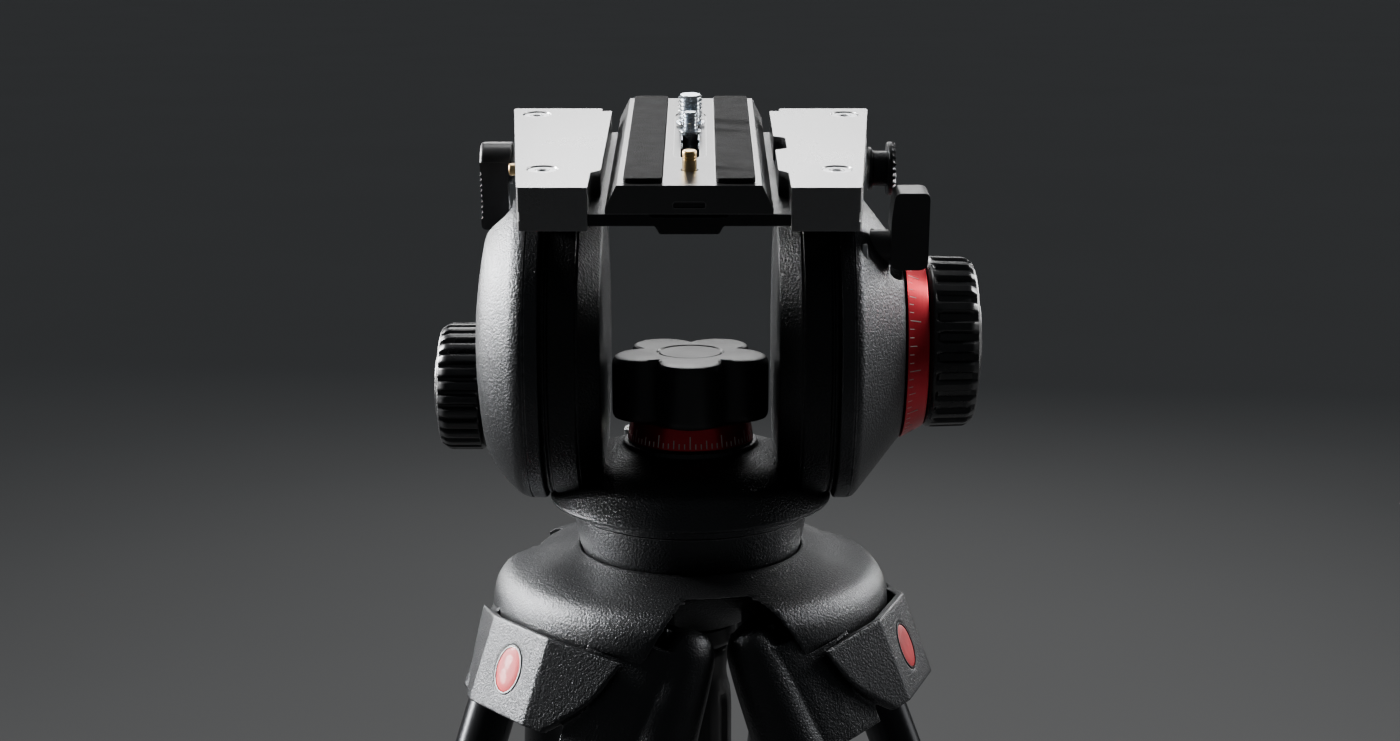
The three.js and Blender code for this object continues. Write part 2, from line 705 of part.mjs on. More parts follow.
// Room beside a lug for the collar of a leg, through its whole swing.
function collarRoom() {
  const inner = LUG_HALF + RUNNING / 2;
  const outer = TUBE_X + SLEEVE_FOOT_RADIUS + 4;
  const swing = Math.hypot(CHEEK.half, CHEEK.top) + 2 * RUNNING;
  const spread = -THREE.MathUtils.radToDeg(SPREAD);
  const band = block(inner, outer, -COLLAR_FRONT * 2, 0, -COLLAR_LENGTH * 2, -BAND_TOP + 2 * RUNNING);
  const one = join([
    bar("x", swing, inner, outer, [-PIVOT_RADIUS, PIVOT_HEIGHT], SMALL_ROUND),
    band.rotate([spread, 0, 0]).translate([0, -PIVOT_RADIUS, PIVOT_HEIGHT]),
    block(inner, outer, -PIVOT_RADIUS - 1, -PIVOT_RADIUS + swing, CROWN_BOTTOM - 3, PIVOT_HEIGHT),
  ]);
  return join([one, one.mirror([1, 0, 0])]);
}

// The shell that carries the bowl, with a lug for each leg and an arch between each pair.
function crown() {
  const mouth = Math.sqrt(BOWL_RADIUS ** 2 - (BALL_CENTRE - CROWN_TOP) ** 2);
  const outer = turned([
    [0, CROWN_BOTTOM],
    [CROWN_RADIUS - 1.5, CROWN_BOTTOM],
    [CROWN_RADIUS, CROWN_BOTTOM + 3],
    [CROWN_RADIUS, CROWN_TOP - 22],
    [CROWN_RADIUS - 1.6, CROWN_TOP - 15],
    [CROWN_RADIUS - 5.5, CROWN_TOP - 8.6],
    [CROWN_RADIUS - 12, CROWN_TOP - 4.4],
    [mouth + CROWN_LIP + 2, CROWN_TOP - 2],
    [mouth + CROWN_LIP, CROWN_TOP],
    [0, CROWN_TOP],
  ]);
  const deck = CROWN_TOP - CROWN_DECK;
  const inside = CROWN_RADIUS - CROWN_WALL;
  const bowlStart = BALL_CENTRE - Math.sqrt(BOWL_OUTER ** 2 - 8 ** 2);
  const hollow = turned([
    [0, CROWN_BOTTOM - 1],
    [inside, CROWN_BOTTOM - 1],
    [inside, CROWN_TOP - 22],
    [inside - 7, deck],
    ...sphereArc(BOWL_OUTER, bowlStart, deck, 4).reverse(),
    [0, bowlStart],
  ]);
  const bowl = turned([
    [0, BALL_CENTRE - BOWL_RADIUS],
    ...sphereArc(BOWL_RADIUS, BALL_CENTRE - BOWL_RADIUS + 0.4, BALL_CENTRE, 7),
    [0, BALL_CENTRE],
  ]);
  const lugs = [];
  const bores = [];
  const rooms = [];
  const arches = [];
  const lugEnd = -Math.sqrt((CROWN_RADIUS - 1.4) ** 2 - LUG_HALF ** 2);
  for (let leg = 0; leg < LEGS; leg += 1) {
    for (const side of [-1, 1]) {
      const [near, far] = [side * (LUG_HALF - LUG_WALL), side * LUG_HALF];
      const lug = block(near, far, lugEnd, -30, CROWN_BOTTOM + 2, deck + 1);
      lugs.push(toAzimuth(lug, leg).intersect(outer));
    }
    bores.push(toAzimuth(bar("x", BOLT_RADIUS + GAP, -LUG_HALF - 1, LUG_HALF + 1, [-PIVOT_RADIUS, PIVOT_HEIGHT]), leg));
    rooms.push(toAzimuth(collarRoom(), leg));
    arches.push(toAzimuth(archTunnel(), leg + 0.5));
  }
  const shell = join([cut(outer, [hollow]), ...lugs]);
  const drain = bar("z", BOWL_DRAIN, CROWN_BOTTOM - 1, CROWN_TOP + 5, [0, 0], KNOB_ROUND);
  return cut(shell, [bowl, drain, ...bores, ...arches, ...rooms]);
}

// ---- legs ----

// Pieces of a leg lie in its own frame: the pivot is the origin, -Z runs down the leg, -Y points outward.

function pivotBolt() {
  const half = LUG_HALF + 7;
  return bar("x", BOLT_RADIUS, -half, half, [0, 0], TUBE_ROUND);
}

function legCollar() {
  const cheek = LUG_HALF + 1.5 * RUNNING;
  const bore = TUBE_RADIUS + GAP;
  const edge = TUBE_X + SLEEVE_FOOT_RADIUS - 1;
  const outerLine = [
    [edge, 0],
    [TUBE_X, -20],
    [COLLAR_FLAT, -COLLAR_FRONT],
  ];
  const slope = (COLLAR_FRONT - 20) / (TUBE_X - COLLAR_FLAT);
  const shift = BAND_WALL * Math.sqrt(1 + slope * slope);
  const innerFlat = COLLAR_FRONT - BAND_WALL;
  const atCheek = 20 + (TUBE_X - cheek) * slope - shift;
  const bend = COLLAR_FLAT - (innerFlat - (COLLAR_FRONT - shift)) / slope;
  const halfBand = [...outerLine, [-COLLAR_FLAT, -COLLAR_FRONT], [-TUBE_X, -20], [-edge, 0]];
  const band = slab(
    [
      ...halfBand,
      [-TUBE_X, 0],
      [-cheek, -6],
      [-cheek, -atCheek],
      [-bend, -innerFlat],
      [bend, -innerFlat],
      [cheek, -atCheek],
      [cheek, -6],
      [TUBE_X, 0],
    ],
    -COLLAR_LENGTH + 2,
    -BAND_TOP,
  );
  const sleeves = [-1, 1].flatMap((side) => {
    const sleeve = turned(
      [
        [0, -COLLAR_LENGTH],
        [SLEEVE_FOOT_RADIUS, -COLLAR_LENGTH],
        [TUBE_RADIUS + 1.7, -18],
        [SLEEVE_PIVOT_RADIUS, -6],
        [TUBE_RADIUS - 1, SLEEVE_TOP - 8],
        [TUBE_RADIUS - 3, SLEEVE_TOP - 3],
        [TUBE_RADIUS - 6, SLEEVE_TOP],
        [0, SLEEVE_TOP],
      ],
      SMALL_ROUND,
    ).translate([side * TUBE_X, 0, 0]);
    const [near, far] = [side * cheek, side * (TUBE_X - 4)];
    return [sleeve, block(near, far, -CHEEK.half, CHEEK.half, -CHEEK.foot, CHEEK.top)];
  });
  return cut(join([band, ...sleeves]), [
    ...[-1, 1].map((side) => bar("z", bore, -REACH, TUBE_SEAT, [side * TUBE_X, 0], TUBE_ROUND)),
    bar("x", BOLT_RADIUS + GAP, -LUG_HALF - 7.3, LUG_HALF + 7.3),
  ]);
}

const upperTube = () => pipe(TUBE_RADIUS, TUBE_RADIUS - TUBE_WALL, -UPPER_LENGTH, TUBE_SEAT - GAP);
const lowerTube = () => pipe(LOWER_RADIUS, LOWER_RADIUS - LOWER_WALL, -FOOT_SOCKET + GAP, -LOWER_TOP);

// The casting at the foot of the upper tubes, with the lever's ears and the spreader's lugs.
function clampBracket() {
  const sleeves = [-1, 1].map((side) => {
    const centre = [side * TUBE_X, 0];
    return bar("z", CLAMP_RADIUS, -CLAMP_BOTTOM, -CLAMP_TOP, centre);
  });
  const bridge = block(-TUBE_X, TUBE_X, -CLAMP_FRONT, CLAMP_INNER, -CLAMP_BRIDGE_BOTTOM, -CLAMP_BRIDGE_TOP);
  const { a, u } = SPREADER_PIVOT;
  const forks = [-1, 1].flatMap((side) => {
    const { fork } = SPREADER_BAR;
    const [near, far] = [side * fork, side * (fork + 4)];
    return [
      block(near, far, CLAMP_INNER - 3, -u + 6, -a - 6, -CLAMP_BRIDGE_BOTTOM + 14),
      block(near, far, -CLAMP_FRONT + 4, CLAMP_INNER, -a + 8, -CLAMP_BRIDGE_BOTTOM + 14),
    ];
  });
  const { half, pivot, stand, pin } = LEVER;
  const ears = [-1, 1].map((side) => {
    const [near, far] = [side * (half + GAP), side * (half + 5)];
    return block(near, far, -stand - 5, -CLAMP_FRONT + 1, -pivot - 7, -pivot + 6);
  });
  const bores = [-1, 1].flatMap((side) => {
    const centre = [side * TUBE_X, 0];
    return [
      bar("z", TUBE_RADIUS + GAP, -UPPER_LENGTH - GAP, 0, centre, TUBE_ROUND),
      bar("z", LOWER_RADIUS + RUNNING, -REACH * 2, 0, centre, TUBE_ROUND),
    ];
  });
  const pinBore = bar("x", pin / 2 + GAP, -half - 6, half + 6, [-stand, -pivot], TINY_ROUND);
  return cut(join([...sleeves, bridge, ...forks, ...ears]), [...bores, pinBore]);
}

// The lever that clamps the lower tubes, about its pin.
function clampLever() {
  const { half, length, thickness, pin, pivot } = LEVER;
  return join([
    bar("x", pin / 2, -half - 5, half + 5, [0, 0], TINY_ROUND),
    bar("x", thickness / 2 + 1.4, -half, half, [0, 0], TUBE_ROUND),
    block(-half, half, -thickness / 2 - 1.4, thickness / 2 - 1.4, -length, 0),
  ]);
}

function footBracket() {
  const sockets = [-1, 1].map((side) => {
    return bar("z", LOWER_RADIUS + 3.4, -FOOT_BOTTOM, -FOOT_TOP, [side * TUBE_X, 0], SMALL_ROUND);
  });
  const bridge = block(-TUBE_X, TUBE_X, -7, 7, -FOOT_BOTTOM, -FOOT_TOP + 2);
  const bores = [-1, 1].map((side) => {
    return bar("z", LOWER_RADIUS + GAP, -FOOT_SOCKET, 0, [side * TUBE_X, 0], TUBE_ROUND);
  });
  return cut(join([...sockets, bridge]), bores);
}

function rubberFoot() {
  const ball = arc([0, -LEG_LENGTH], FOOT_RADIUS, -Math.PI / 2 + 0.35, 0.2, 3);
  return turned([[0, -LEG_LENGTH - FOOT_RADIUS], ...ball, [12, -FOOT_BOTTOM - GAP], [0, -FOOT_BOTTOM - GAP]], SMALL_ROUND);
}

// ---- spreader ----

// Where a leg's spreader pivot is, from the pan axis and below the leg's pivot.
const PIVOT_OUT =
  PIVOT_RADIUS + SPREADER_PIVOT.a * Math.sin(SPREAD) + SPREADER_PIVOT.u * Math.cos(SPREAD);
const PIVOT_DOWN =
  PIVOT_HEIGHT - SPREADER_PIVOT.a * Math.cos(SPREAD) + SPREADER_PIVOT.u * Math.sin(SPREAD);
const SPREADER_LENGTH = (PIVOT_OUT - HUB_RADIUS) / Math.cos(SPREADER_DROP);
const HUB_PLACE = PIVOT_DOWN + SPREADER_LENGTH * Math.sin(SPREADER_DROP);

// A short boss with a forked slot for each arm.
function spreaderHub() {
  const body = turned(
    [
      [HUB_BORE, -HUB_HEIGHT / 2],
      [HUB_RADIUS - 2, -HUB_HEIGHT / 2],
      [HUB_RADIUS + 5, -HUB_HEIGHT / 2 + 6],
      [HUB_RADIUS + 5, HUB_HEIGHT / 2 - 6],
      [HUB_RADIUS - 2, HUB_HEIGHT / 2],
      [HUB_BORE, HUB_HEIGHT / 2],
      [HUB_BORE, -HUB_HEIGHT / 2],
    ],
    KNOB_ROUND,
  );
  const { half, eye } = SPREADER_BAR;
  const slots = Array.from({ length: LEGS }, (_, leg) => {
    const slot = block(-half - RUNNING, half + RUNNING, -REACH, -HUB_RADIUS + eye + 3, -HUB_HEIGHT, HUB_HEIGHT);
    return toAzimuth(slot, leg);
  });
  return cut(body, slots);
}

// An arm from its hub pivot, along -Y, with an eye at both ends. Its outer end lies free between its lugs.
function spreaderArm() {
  const { half, thickness, eye } = SPREADER_BAR;
  return join([
    bar("x", eye, -half, half),
    block(-half, half, -SPREADER_LENGTH, 0, -thickness / 2, thickness / 2),
    bar("x", eye, -half, half, [-SPREADER_LENGTH, 0]),
  ]);
}

// ---- the assembly ----

function tiltingHead() {
  const plate = assembly([
    piece("camera_plate", cameraPlate(), BLACK_ALLOY),
    piece("rubber_strip_left", rubberStrip(-1), RUBBER),
    piece("rubber_strip_right", rubberStrip(1), RUBBER),
    cameraScrew("camera_screw_three_eighths", REAR_SCREW, STEEL),
    cameraScrew("camera_screw_quarter", FRONT_SCREW, STEEL),
    piece(
      "locating_pin",
      bar("z", PIN_RADIUS, PLATE_TOP - 4.6, PLATE_TOP + PIN_STANDS, [0, PIN_Y], TUBE_ROUND),
      BRASS,
    ),
  ]);
  const counterKnob = piece("counterbalance_knob", counterbalanceKnob(), BLACK_PLASTIC);
  counterKnob.position.z = COUNTER_KNOB.z;
  const lockLever = piece("tilt_lock_lever", tiltLockLever(), BLACK_PLASTIC);
  lockLever.position.set(0, TILT_LOCK.y, TILT_LOCK.z);
  return assembly(
    [
      plate,
      piece("top_platform", topPlatform(), BLACK_ALLOY),
      piece("plate_lock_lever", plateLockLever(), BLACK_PLASTIC),
      piece("pan_bar_rosette", panBarRosette(), BLACK_ALLOY),
      piece("side_housing_left", leftSideHousing(), BLACK_ALLOY),
      piece("side_housing_right", rightSideHousing(), BLACK_ALLOY),
      piece("tilt_axle_left", tiltAxle(-1), STEEL),
      piece("tilt_axle_right", tiltAxle(1), STEEL),
      piece("tilt_drag_ring", tiltDragRing(), RED_RING),
      piece("tilt_drag_knob", tiltDragKnob(), BLACK_PLASTIC),
      counterKnob,
      lockLever,
    ],
    { rotation: [TILT, 0, 0] },
  );
}

function panHead() {
  const lock = piece("pan_lock_lever", panLockLever(), BLACK_PLASTIC);
  lock.position.set(0, PAN_LOCK.y, PAN_LOCK.z);
  return [
    piece("yoke", yoke(), BLACK_ALLOY),
    piece("pan_drag_ring", panDragRing(), RED_RING),
    piece("pan_drag_knob", panDragKnob(), BLACK_PLASTIC),
    piece("bubble_level", bubbleLevel(), BRASS),
    lock,
    piece("half_ball", halfBall(), BLACK_ALLOY),
    piece("clamp_dish", clampDish(), BLACK_PLASTIC),
    piece("clamp_handle", clampHandle(), BLACK_PLASTIC),
  ];
}

function leg(number) {
  const named = (name) => `leg_${number}_${name}`;
  const pair = (name, make, material) =>
    [-1, 1].map((side) => {
      const tube = piece(named(`${name}_${side < 0 ? "left" : "right"}`), make(), material);
      tube.position.x = side * TUBE_X;
      return tube;
    });
  const lever = piece(named("clamp_lever"), clampLever(), BLACK_PLASTIC);
  lever.position.set(0, -LEVER.stand, -LEVER.pivot);
  const parts = [
    piece(named("pivot_bolt"), pivotBolt(), STEEL),
    piece(named("collar"), legCollar(), BLACK_ALLOY),
    ...pair("upper_tube", upperTube, BLACK_TUBE),
    piece(named("clamp_bracket"), clampBracket(), BLACK_ALLOY),
    lever,
    ...pair("lower_tube", lowerTube, BLACK_TUBE),
    piece(named("foot_bracket"), footBracket(), BLACK_ALLOY),
    piece(named("rubber_foot"), rubberFoot(), RUBBER),
  ];
  const place = { position: [0, -PIVOT_RADIUS, PIVOT_HEIGHT], rotation: [-SPREAD, 0, 0] };
  const azimuth = FIRST_LEG + (number - 1) * LEG_STEP;
  return assembly([assembly(parts, place)], { rotation: [0, 0, azimuth] });
}

function spreader() {
  const hub = piece("spreader_hub", spreaderHub(), BLACK_PLASTIC);
  const arms = Array.from({ length: LEGS }, (_, i) => {
    const arm = piece(`spreader_arm_${i + 1}`, spreaderArm(), BLACK_ALLOY);
    const place = { position: [0, -HUB_RADIUS, 0], rotation: [SPREADER_DROP, 0, 0] };
    return assembly([assembly([arm], place)], { rotation: [0, 0, FIRST_LEG + i * LEG_STEP] });
  });
  return assembly([hub, ...arms], { position: [0, 0, HUB_PLACE] });
}

// Stands the model on the floor with its outline centred on the origin.
function standing(pieces) {
  const tilted = assembly(pieces);
  const box = new THREE.Box3().setFromObject(tilted, true);
  const centre = box.getCenter(new THREE.Vector3());
  tilted.position.set(-centre.x, -centre.y, -box.min.z);
  return assembly([tilted]);
}

const legs = Array.from({ length: LEGS }, (_, i) => leg(i + 1));
const tripod = standing([piece("crown", crown(), BLACK_ALLOY), ...legs, spreader(), ...panHead(), tiltingHead()]);
tripod.name = "tripod";

export default tripod;
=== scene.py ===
"""A camera tripod with a fluid head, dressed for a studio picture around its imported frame."""
import json
import logging
import math
from dataclasses import dataclass
from enum import Enum
from typing import Callable, Iterable, Sequence

import bmesh
import bpy
from mathutils import Matrix, Vector


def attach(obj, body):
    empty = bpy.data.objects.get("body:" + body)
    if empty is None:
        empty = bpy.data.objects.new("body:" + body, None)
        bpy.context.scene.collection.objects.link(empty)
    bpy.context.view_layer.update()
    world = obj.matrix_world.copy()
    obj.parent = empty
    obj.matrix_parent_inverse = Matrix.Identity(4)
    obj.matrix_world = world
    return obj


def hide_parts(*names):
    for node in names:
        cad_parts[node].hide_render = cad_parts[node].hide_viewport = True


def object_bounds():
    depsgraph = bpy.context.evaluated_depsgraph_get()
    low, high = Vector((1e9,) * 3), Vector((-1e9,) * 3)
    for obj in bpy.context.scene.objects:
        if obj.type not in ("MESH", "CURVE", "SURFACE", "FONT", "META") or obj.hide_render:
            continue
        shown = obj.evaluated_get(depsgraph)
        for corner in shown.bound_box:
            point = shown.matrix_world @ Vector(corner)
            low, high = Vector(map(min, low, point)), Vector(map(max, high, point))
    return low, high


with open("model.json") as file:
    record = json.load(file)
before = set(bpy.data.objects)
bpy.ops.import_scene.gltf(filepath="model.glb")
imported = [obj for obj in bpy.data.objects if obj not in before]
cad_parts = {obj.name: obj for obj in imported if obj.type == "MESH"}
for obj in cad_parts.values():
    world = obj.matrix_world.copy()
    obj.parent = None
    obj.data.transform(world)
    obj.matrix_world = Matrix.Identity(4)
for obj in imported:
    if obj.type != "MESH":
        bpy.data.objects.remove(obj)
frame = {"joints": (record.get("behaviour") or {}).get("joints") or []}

CAD_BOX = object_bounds()
log = logging.getLogger("tripod")
MM = 0.001
TAU = 2 * math.pi
Point = tuple[float, float]
Ring = list[Vector]


# ---- shader graphs ----

class Wire:
    """A value socket that does arithmetic by adding Math nodes."""

    def __init__(self, graph: "Graph", socket: bpy.types.NodeSocket) -> None:
        """Wraps a socket of a graph."""
        self.graph = graph
        self.socket = socket

    def _math(self, operation: str, first: object, second: object = None) -> "Wire":
        """Adds one Math node.

        Args:
            operation: the Math node's operation.
            first: its first value or wire.
            second: its second value or wire, if it takes one.

        Returns:
            The node's result.
        """
        values = [v for v in (first, second) if v is not None]
        return self.graph.add("Math", {"operation": operation}, dict(enumerate(values)))

    def __add__(self, other: object) -> "Wire":
        """self + other."""
        return self._math("ADD", self, other)

    def __sub__(self, other: object) -> "Wire":
        """self - other."""
        return self._math("SUBTRACT", self, other)

    def __rsub__(self, other: object) -> "Wire":
        """other - self."""
        return self._math("SUBTRACT", other, self)

    def __mul__(self, other: object) -> "Wire":
        """self * other."""
        return self._math("MULTIPLY", self, other)

    def __truediv__(self, other: object) -> "Wire":
        """self / other."""
        return self._math("DIVIDE", self, other)

    def __rtruediv__(self, other: object) -> "Wire":
        """other / self."""
        return self._math("DIVIDE", other, self)

    def __gt__(self, other: object) -> "Wire":
        """1 where self is above other, else 0."""
        return self._math("GREATER_THAN", self, other)

    def power(self, exponent: float) -> "Wire":
        """self raised to a power."""
        return self._math("POWER", self, exponent)

    def ramp(self, low: float, high: float) -> "Wire":
        """0 below low, 1 above high, straight between."""
        limits = {0: self, 1: low, 2: high, 3: 0.0, 4: 1.0}
        return self.graph.add("MapRange", {"clamp": True}, limits)

    __radd__ = __add__
    __rmul__ = __mul__


class Graph:
    """The nodes of one material."""

    def __init__(self, name: str) -> None:
        """Makes an empty material with an output and a main shader.

        Args:
            name: the material's name.
        """
        self.material = bpy.data.materials.new(name)
        self.material.use_nodes = True
        self.tree = self.material.node_tree
        self.tree.nodes.clear()
        self.shader = self.tree.nodes.new("ShaderNodeBsdfPrincipled")
        output = self.tree.nodes.new("ShaderNodeOutputMaterial")
        self.tree.links.new(self.shader.outputs[0], output.inputs[0])

    def feed(self, node: bpy.types.Node, inputs: dict) -> None:
        """Sets a node's inputs, each by name or number, to a value or a link."""
        for key, value in inputs.items():
            if isinstance(value, Wire):
                self.tree.links.new(value.socket, node.inputs[key])
            else:
                node.inputs[key].default_value = value

    def add(self, kind: str, settings: dict | None = None, inputs: dict | None = None,
            out: object = 0) -> Wire:
        """Adds a node.

        Args:
            kind: the node's type without its ShaderNode prefix.
            settings: properties set before the inputs; "stops" fills a colour ramp.
            inputs: values or wires for its inputs, by name or number.
            out: the output that is wanted, by name or number.

        Returns:
            That output.
        """
        node = self.tree.nodes.new(f"ShaderNode{kind}")
        for key, value in (settings or {}).items():
            if key == "stops":
                for element, (place, shade) in zip(node.color_ramp.elements, value):
                    element.position, element.color = place, shade
            else:
                setattr(node, key, value)
        self.feed(node, inputs or {})
        return Wire(self, node.outputs[out])

    def place(self) -> Wire:
        """The point on the surface, in metres, fixed to its piece."""
        return self.add("TexCoord", out="Object")

    def stretched(self, scale: Sequence[float]) -> Wire:
        """The surface point with each axis scaled."""
        return self.add("Mapping", {}, {"Vector": self.place(), "Scale": tuple(scale)})

    def noise(self, vector: Wire, scale: float, detail: float = 2.0, rough: float = 0.5) -> Wire:
        """Noise from 0 to 1, with about scale cells in each unit of the vector."""
        return self.add("TexNoise", {},
                        {"Vector": vector, "Scale": scale, "Detail": detail, "Roughness": rough})

    def blend(self, mask: Wire, low: Sequence[float], high: Sequence[float] | Wire) -> Wire:
        """A colour between low and high."""
        inputs = {0: mask, 6: low if isinstance(low, Wire) else (*low, 1),
                  7: high if isinstance(high, Wire) else (*high, 1)}
        return self.add("Mix", {"data_type": "RGBA"}, inputs, out=2)

    def bump(self, height: Wire, depth_mm: float, strength: float = 1.0) -> Wire:
        """A normal from a height of 0 to 1."""
        return self.add("Bump", {}, {"Height": height, "Distance": depth_mm * MM, "Strength": strength},
                        out="Normal")

    def corners(self, radius_mm: float) -> Wire:
        """1 close to an edge, for a rubbed line along it.

        Args:
            radius_mm: how far from an edge the line reaches.

        Returns:
            The mask.
        """
        soft = self.add("Bevel", {"samples": 6}, {"Radius": radius_mm * MM})
        flat = self.add("NewGeometry", out="Normal")
        alike = self.add("VectorMath", {"operation": "DOT_PRODUCT"}, {0: soft, 1: flat}, "Value")
        return (1 - alike).ramp(0.02, 0.14)

    def edges(self, low: float = 0.52, high: float = 0.6) -> Wire:
        """1 on convex edges, for wear."""
        return self.add("NewGeometry", out="Pointiness").ramp(low, high)


@dataclass(frozen=True)
class Casting:
    """Black coat on a cast part, with a fine stipple.

    Attributes:
        shade: the coat's brightness.
        grain_mm: the size of the stipple.
        depth_mm: its height.
        gloss: roughness between the grains.
        metal: how metallic the coat looks.
    """

    name: str = "cast_black"
    shade: float = 0.075
    grain_mm: float = 0.75
    depth_mm: float = 0.11
    gloss: float = 0.33
    metal: float = 0.85
    slot: str = "alloy"

    def material(self) -> bpy.types.Material:
        """Builds the material.

        Returns:
            The material.
        """
        g = Graph(self.name)
        spot = g.place()
        grain = g.noise(spot, 1 / (self.grain_mm * MM), 2.5, 0.6)
        cloud = g.noise(spot, 26.0, 3.0)
        worn = g.corners(0.7) * g.noise(spot, 300.0, 3.0).ramp(0.3, 0.5)
        dark = tuple(self.shade * k for k in (0.84, 0.87, 0.93))
        light = tuple(self.shade * k for k in (1.14, 1.17, 1.22))
        coat = g.blend(cloud, dark, light)
        g.feed(g.shader, {
            "Base Color": g.blend(worn * 0.5, coat, (0.34, 0.34, 0.35)),
            "Metallic": self.metal,
            "Roughness": grain.ramp(0.3, 0.75) * 0.1 + cloud * 0.05 + self.gloss,
            "Normal": g.bump(grain.ramp(0.32, 0.7), self.depth_mm, 0.75),
        })
        return g.material


@dataclass(frozen=True)
class Machined:
    """Satin alloy with a fine grain drawn along one axis."""

    name: str = "satin_alloy"
    shade: float = 0.3
    gloss: float = 0.3
    along: tuple[float, float, float] = (900.0, 120.0, 900.0)
    tint: tuple[float, float, float] = (1.0, 1.0, 1.01)
    slot: str = "alloy"

    def material(self) -> bpy.types.Material:
        """Builds the material.

        Returns:
            The material.
        """
        g = Graph(self.name)
        lines = g.noise(g.stretched(self.along), 1.0, 4.0, 0.7)
        fine = g.noise(g.place(), 2600.0, 2.0)
        cloud = g.noise(g.place(), 22.0, 2.0)
        low = tuple(self.shade * 0.86 * k for k in self.tint)
        high = tuple(self.shade * 1.12 * k for k in self.tint)
        worn = g.corners(0.5) * 0.6
        g.feed(g.shader, {
            "Base Color": g.blend(worn, g.blend(lines * 0.6 + cloud * 0.4, low, high), (0.55, 0.55, 0.56)),
            "Metallic": 0.95,
            "Roughness": lines * 0.1 + cloud * 0.08 + self.gloss,
            "Normal": g.bump(lines * 0.5 + fine * 0.5, 0.02, 0.6),
        })
        return g.material


@dataclass(frozen=True)
class Moulded:
    """Black moulded plastic with a faint orange-peel surface and dust-fine scratches."""

    name: str = "moulded_black"
    shade: float = 0.014
    gloss: float = 0.24
    coat: float = 0.25
    slot: str = "plastic"

    def material(self) -> bpy.types.Material:
        """Builds the material.

        Returns:
            The material.
        """
        g = Graph(self.name)
        spot = g.place()
        peel = g.noise(spot, 700.0, 2.0)
        smear = g.noise(spot, 60.0, 4.0, 0.6)
        shades = (tuple(self.shade * k for k in (0.8, 0.82, 0.9)),
                  tuple(self.shade * k for k in (1.3, 1.32, 1.4)))
        worn = g.edges(0.52, 0.62) * smear.ramp(0.4, 0.6)
        g.feed(g.shader, {
            "Base Color": g.blend(worn * 0.3, g.blend(smear, *shades), (0.07, 0.07, 0.075)),
            "Roughness": smear.ramp(0.3, 0.7) * 0.14 + self.gloss,
            "Coat Weight": self.coat,
            "Coat Roughness": 0.18,
            "Normal": g.bump(peel, 0.03, 0.35),
        })
        return g.material


@dataclass(frozen=True)
class Rubber:
    """Matt black rubber with a pebbled grain."""

    name: str = "pebbled_rubber"
    shade: float = 0.016
    grain_mm: float = 0.55
    slot: str = "rubber"

    def material(self) -> bpy.types.Material:
        """Builds the material.

        Returns:
            The material.
        """
        g = Graph(self.name)
        spot = g.place()
        cells = g.add("TexVoronoi", {}, {"Vector": spot, "Scale": 1 / (self.grain_mm * MM)})
        dust = g.noise(spot, 140.0, 5.0, 0.65)
        low = (self.shade,) * 3
        high = tuple(self.shade * k for k in (2.1, 2.1, 2.2))
        g.feed(g.shader, {
            "Base Color": g.blend(dust.ramp(0.4, 0.75), low, high),
            "Roughness": dust * 0.15 + 0.78,
            "Specular IOR Level": 0.1,
            "Normal": g.bump(cells, 0.16, 0.8),
        })
        return g.material


@dataclass(frozen=True)
class Plated:
    """Bright plated or turned metal.

    Attributes:
        colour: the metal's colour.
        second: the colour that it drifts to.
    """

    name: str
    colour: tuple[float, float, float]
    second: tuple[float, float, float]
    gloss: float = 0.16
    slot: str = "steel"

    def material(self) -> bpy.types.Material:
        """Builds the material.

        Returns:
            The material.
        """
        g = Graph(self.name)
        drift = g.noise(g.place(), 190.0, 3.0)
        rings = g.noise(g.stretched((60.0, 60.0, 5200.0)), 1.0, 2.0)
        g.feed(g.shader, {
            "Base Color": g.blend(drift.ramp(0.35, 0.65), self.colour, self.second),
            "Metallic": 1.0,
            "Roughness": drift * 0.12 + rings * 0.06 + self.gloss,
            "Normal": g.bump(rings, 0.012, 0.4),
        })
        return g.material


@dataclass(frozen=True)
class Anodised:
    """Red anodised ring, turned, with a soft bloom of lighter red."""

    name: str = "red_anodised"
    deep: tuple[float, float, float] = (0.42, 0.006, 0.016)
    bright: tuple[float, float, float] = (0.78, 0.03, 0.055)
    lines: tuple[float, float, float] = (4200.0, 90.0, 90.0)
    slot: str = "red"

    def material(self) -> bpy.types.Material:
        """Builds the material.

        Returns:
            The material.
        """
        g = Graph(self.name)
        turned = g.noise(g.stretched(self.lines), 1.0, 3.0, 0.6)
        cloud = g.noise(g.place(), 45.0, 3.0)
        worn = g.edges(0.52, 0.6) * 0.4
        g.feed(g.shader, {
            "Base Color": g.blend(worn, g.blend(turned * 0.5 + cloud * 0.5, self.deep, self.bright),
                                  (0.85, 0.3, 0.3)),
            "Metallic": 0.75,
            "Roughness": turned * 0.14 + 0.24,
            "Coat Weight": 0.25,
            "Normal": g.bump(turned, 0.015, 0.5),
        })
        return g.material


@dataclass(frozen=True)
class Enamel:
    """Glossy filled enamel, for badges, ticks and the level's vial."""

    name: str
    colour: tuple[float, float, float]
    gloss: float = 0.12
    coat: float = 0.8
    slot: str = "red"

    def material(self) -> bpy.types.Material:
        """Builds the material.

        Returns:
            The material.
        """
        g = Graph(self.name)
        pool = g.noise(g.place(), 120.0, 3.0)
        low = tuple(c * 0.8 for c in self.colour)
        high = tuple(min(1.0, c * 1.2) for c in self.colour)
        g.feed(g.shader, {
            "Base Color": g.blend(pool.ramp(0.3, 0.7), low, high),
            "Roughness": pool * 0.12 + self.gloss,
            "Coat Weight": self.coat,
            "Coat Roughness": 0.05,
            "Normal": g.bump(pool, 0.05, 0.3),
        })
        return g.material


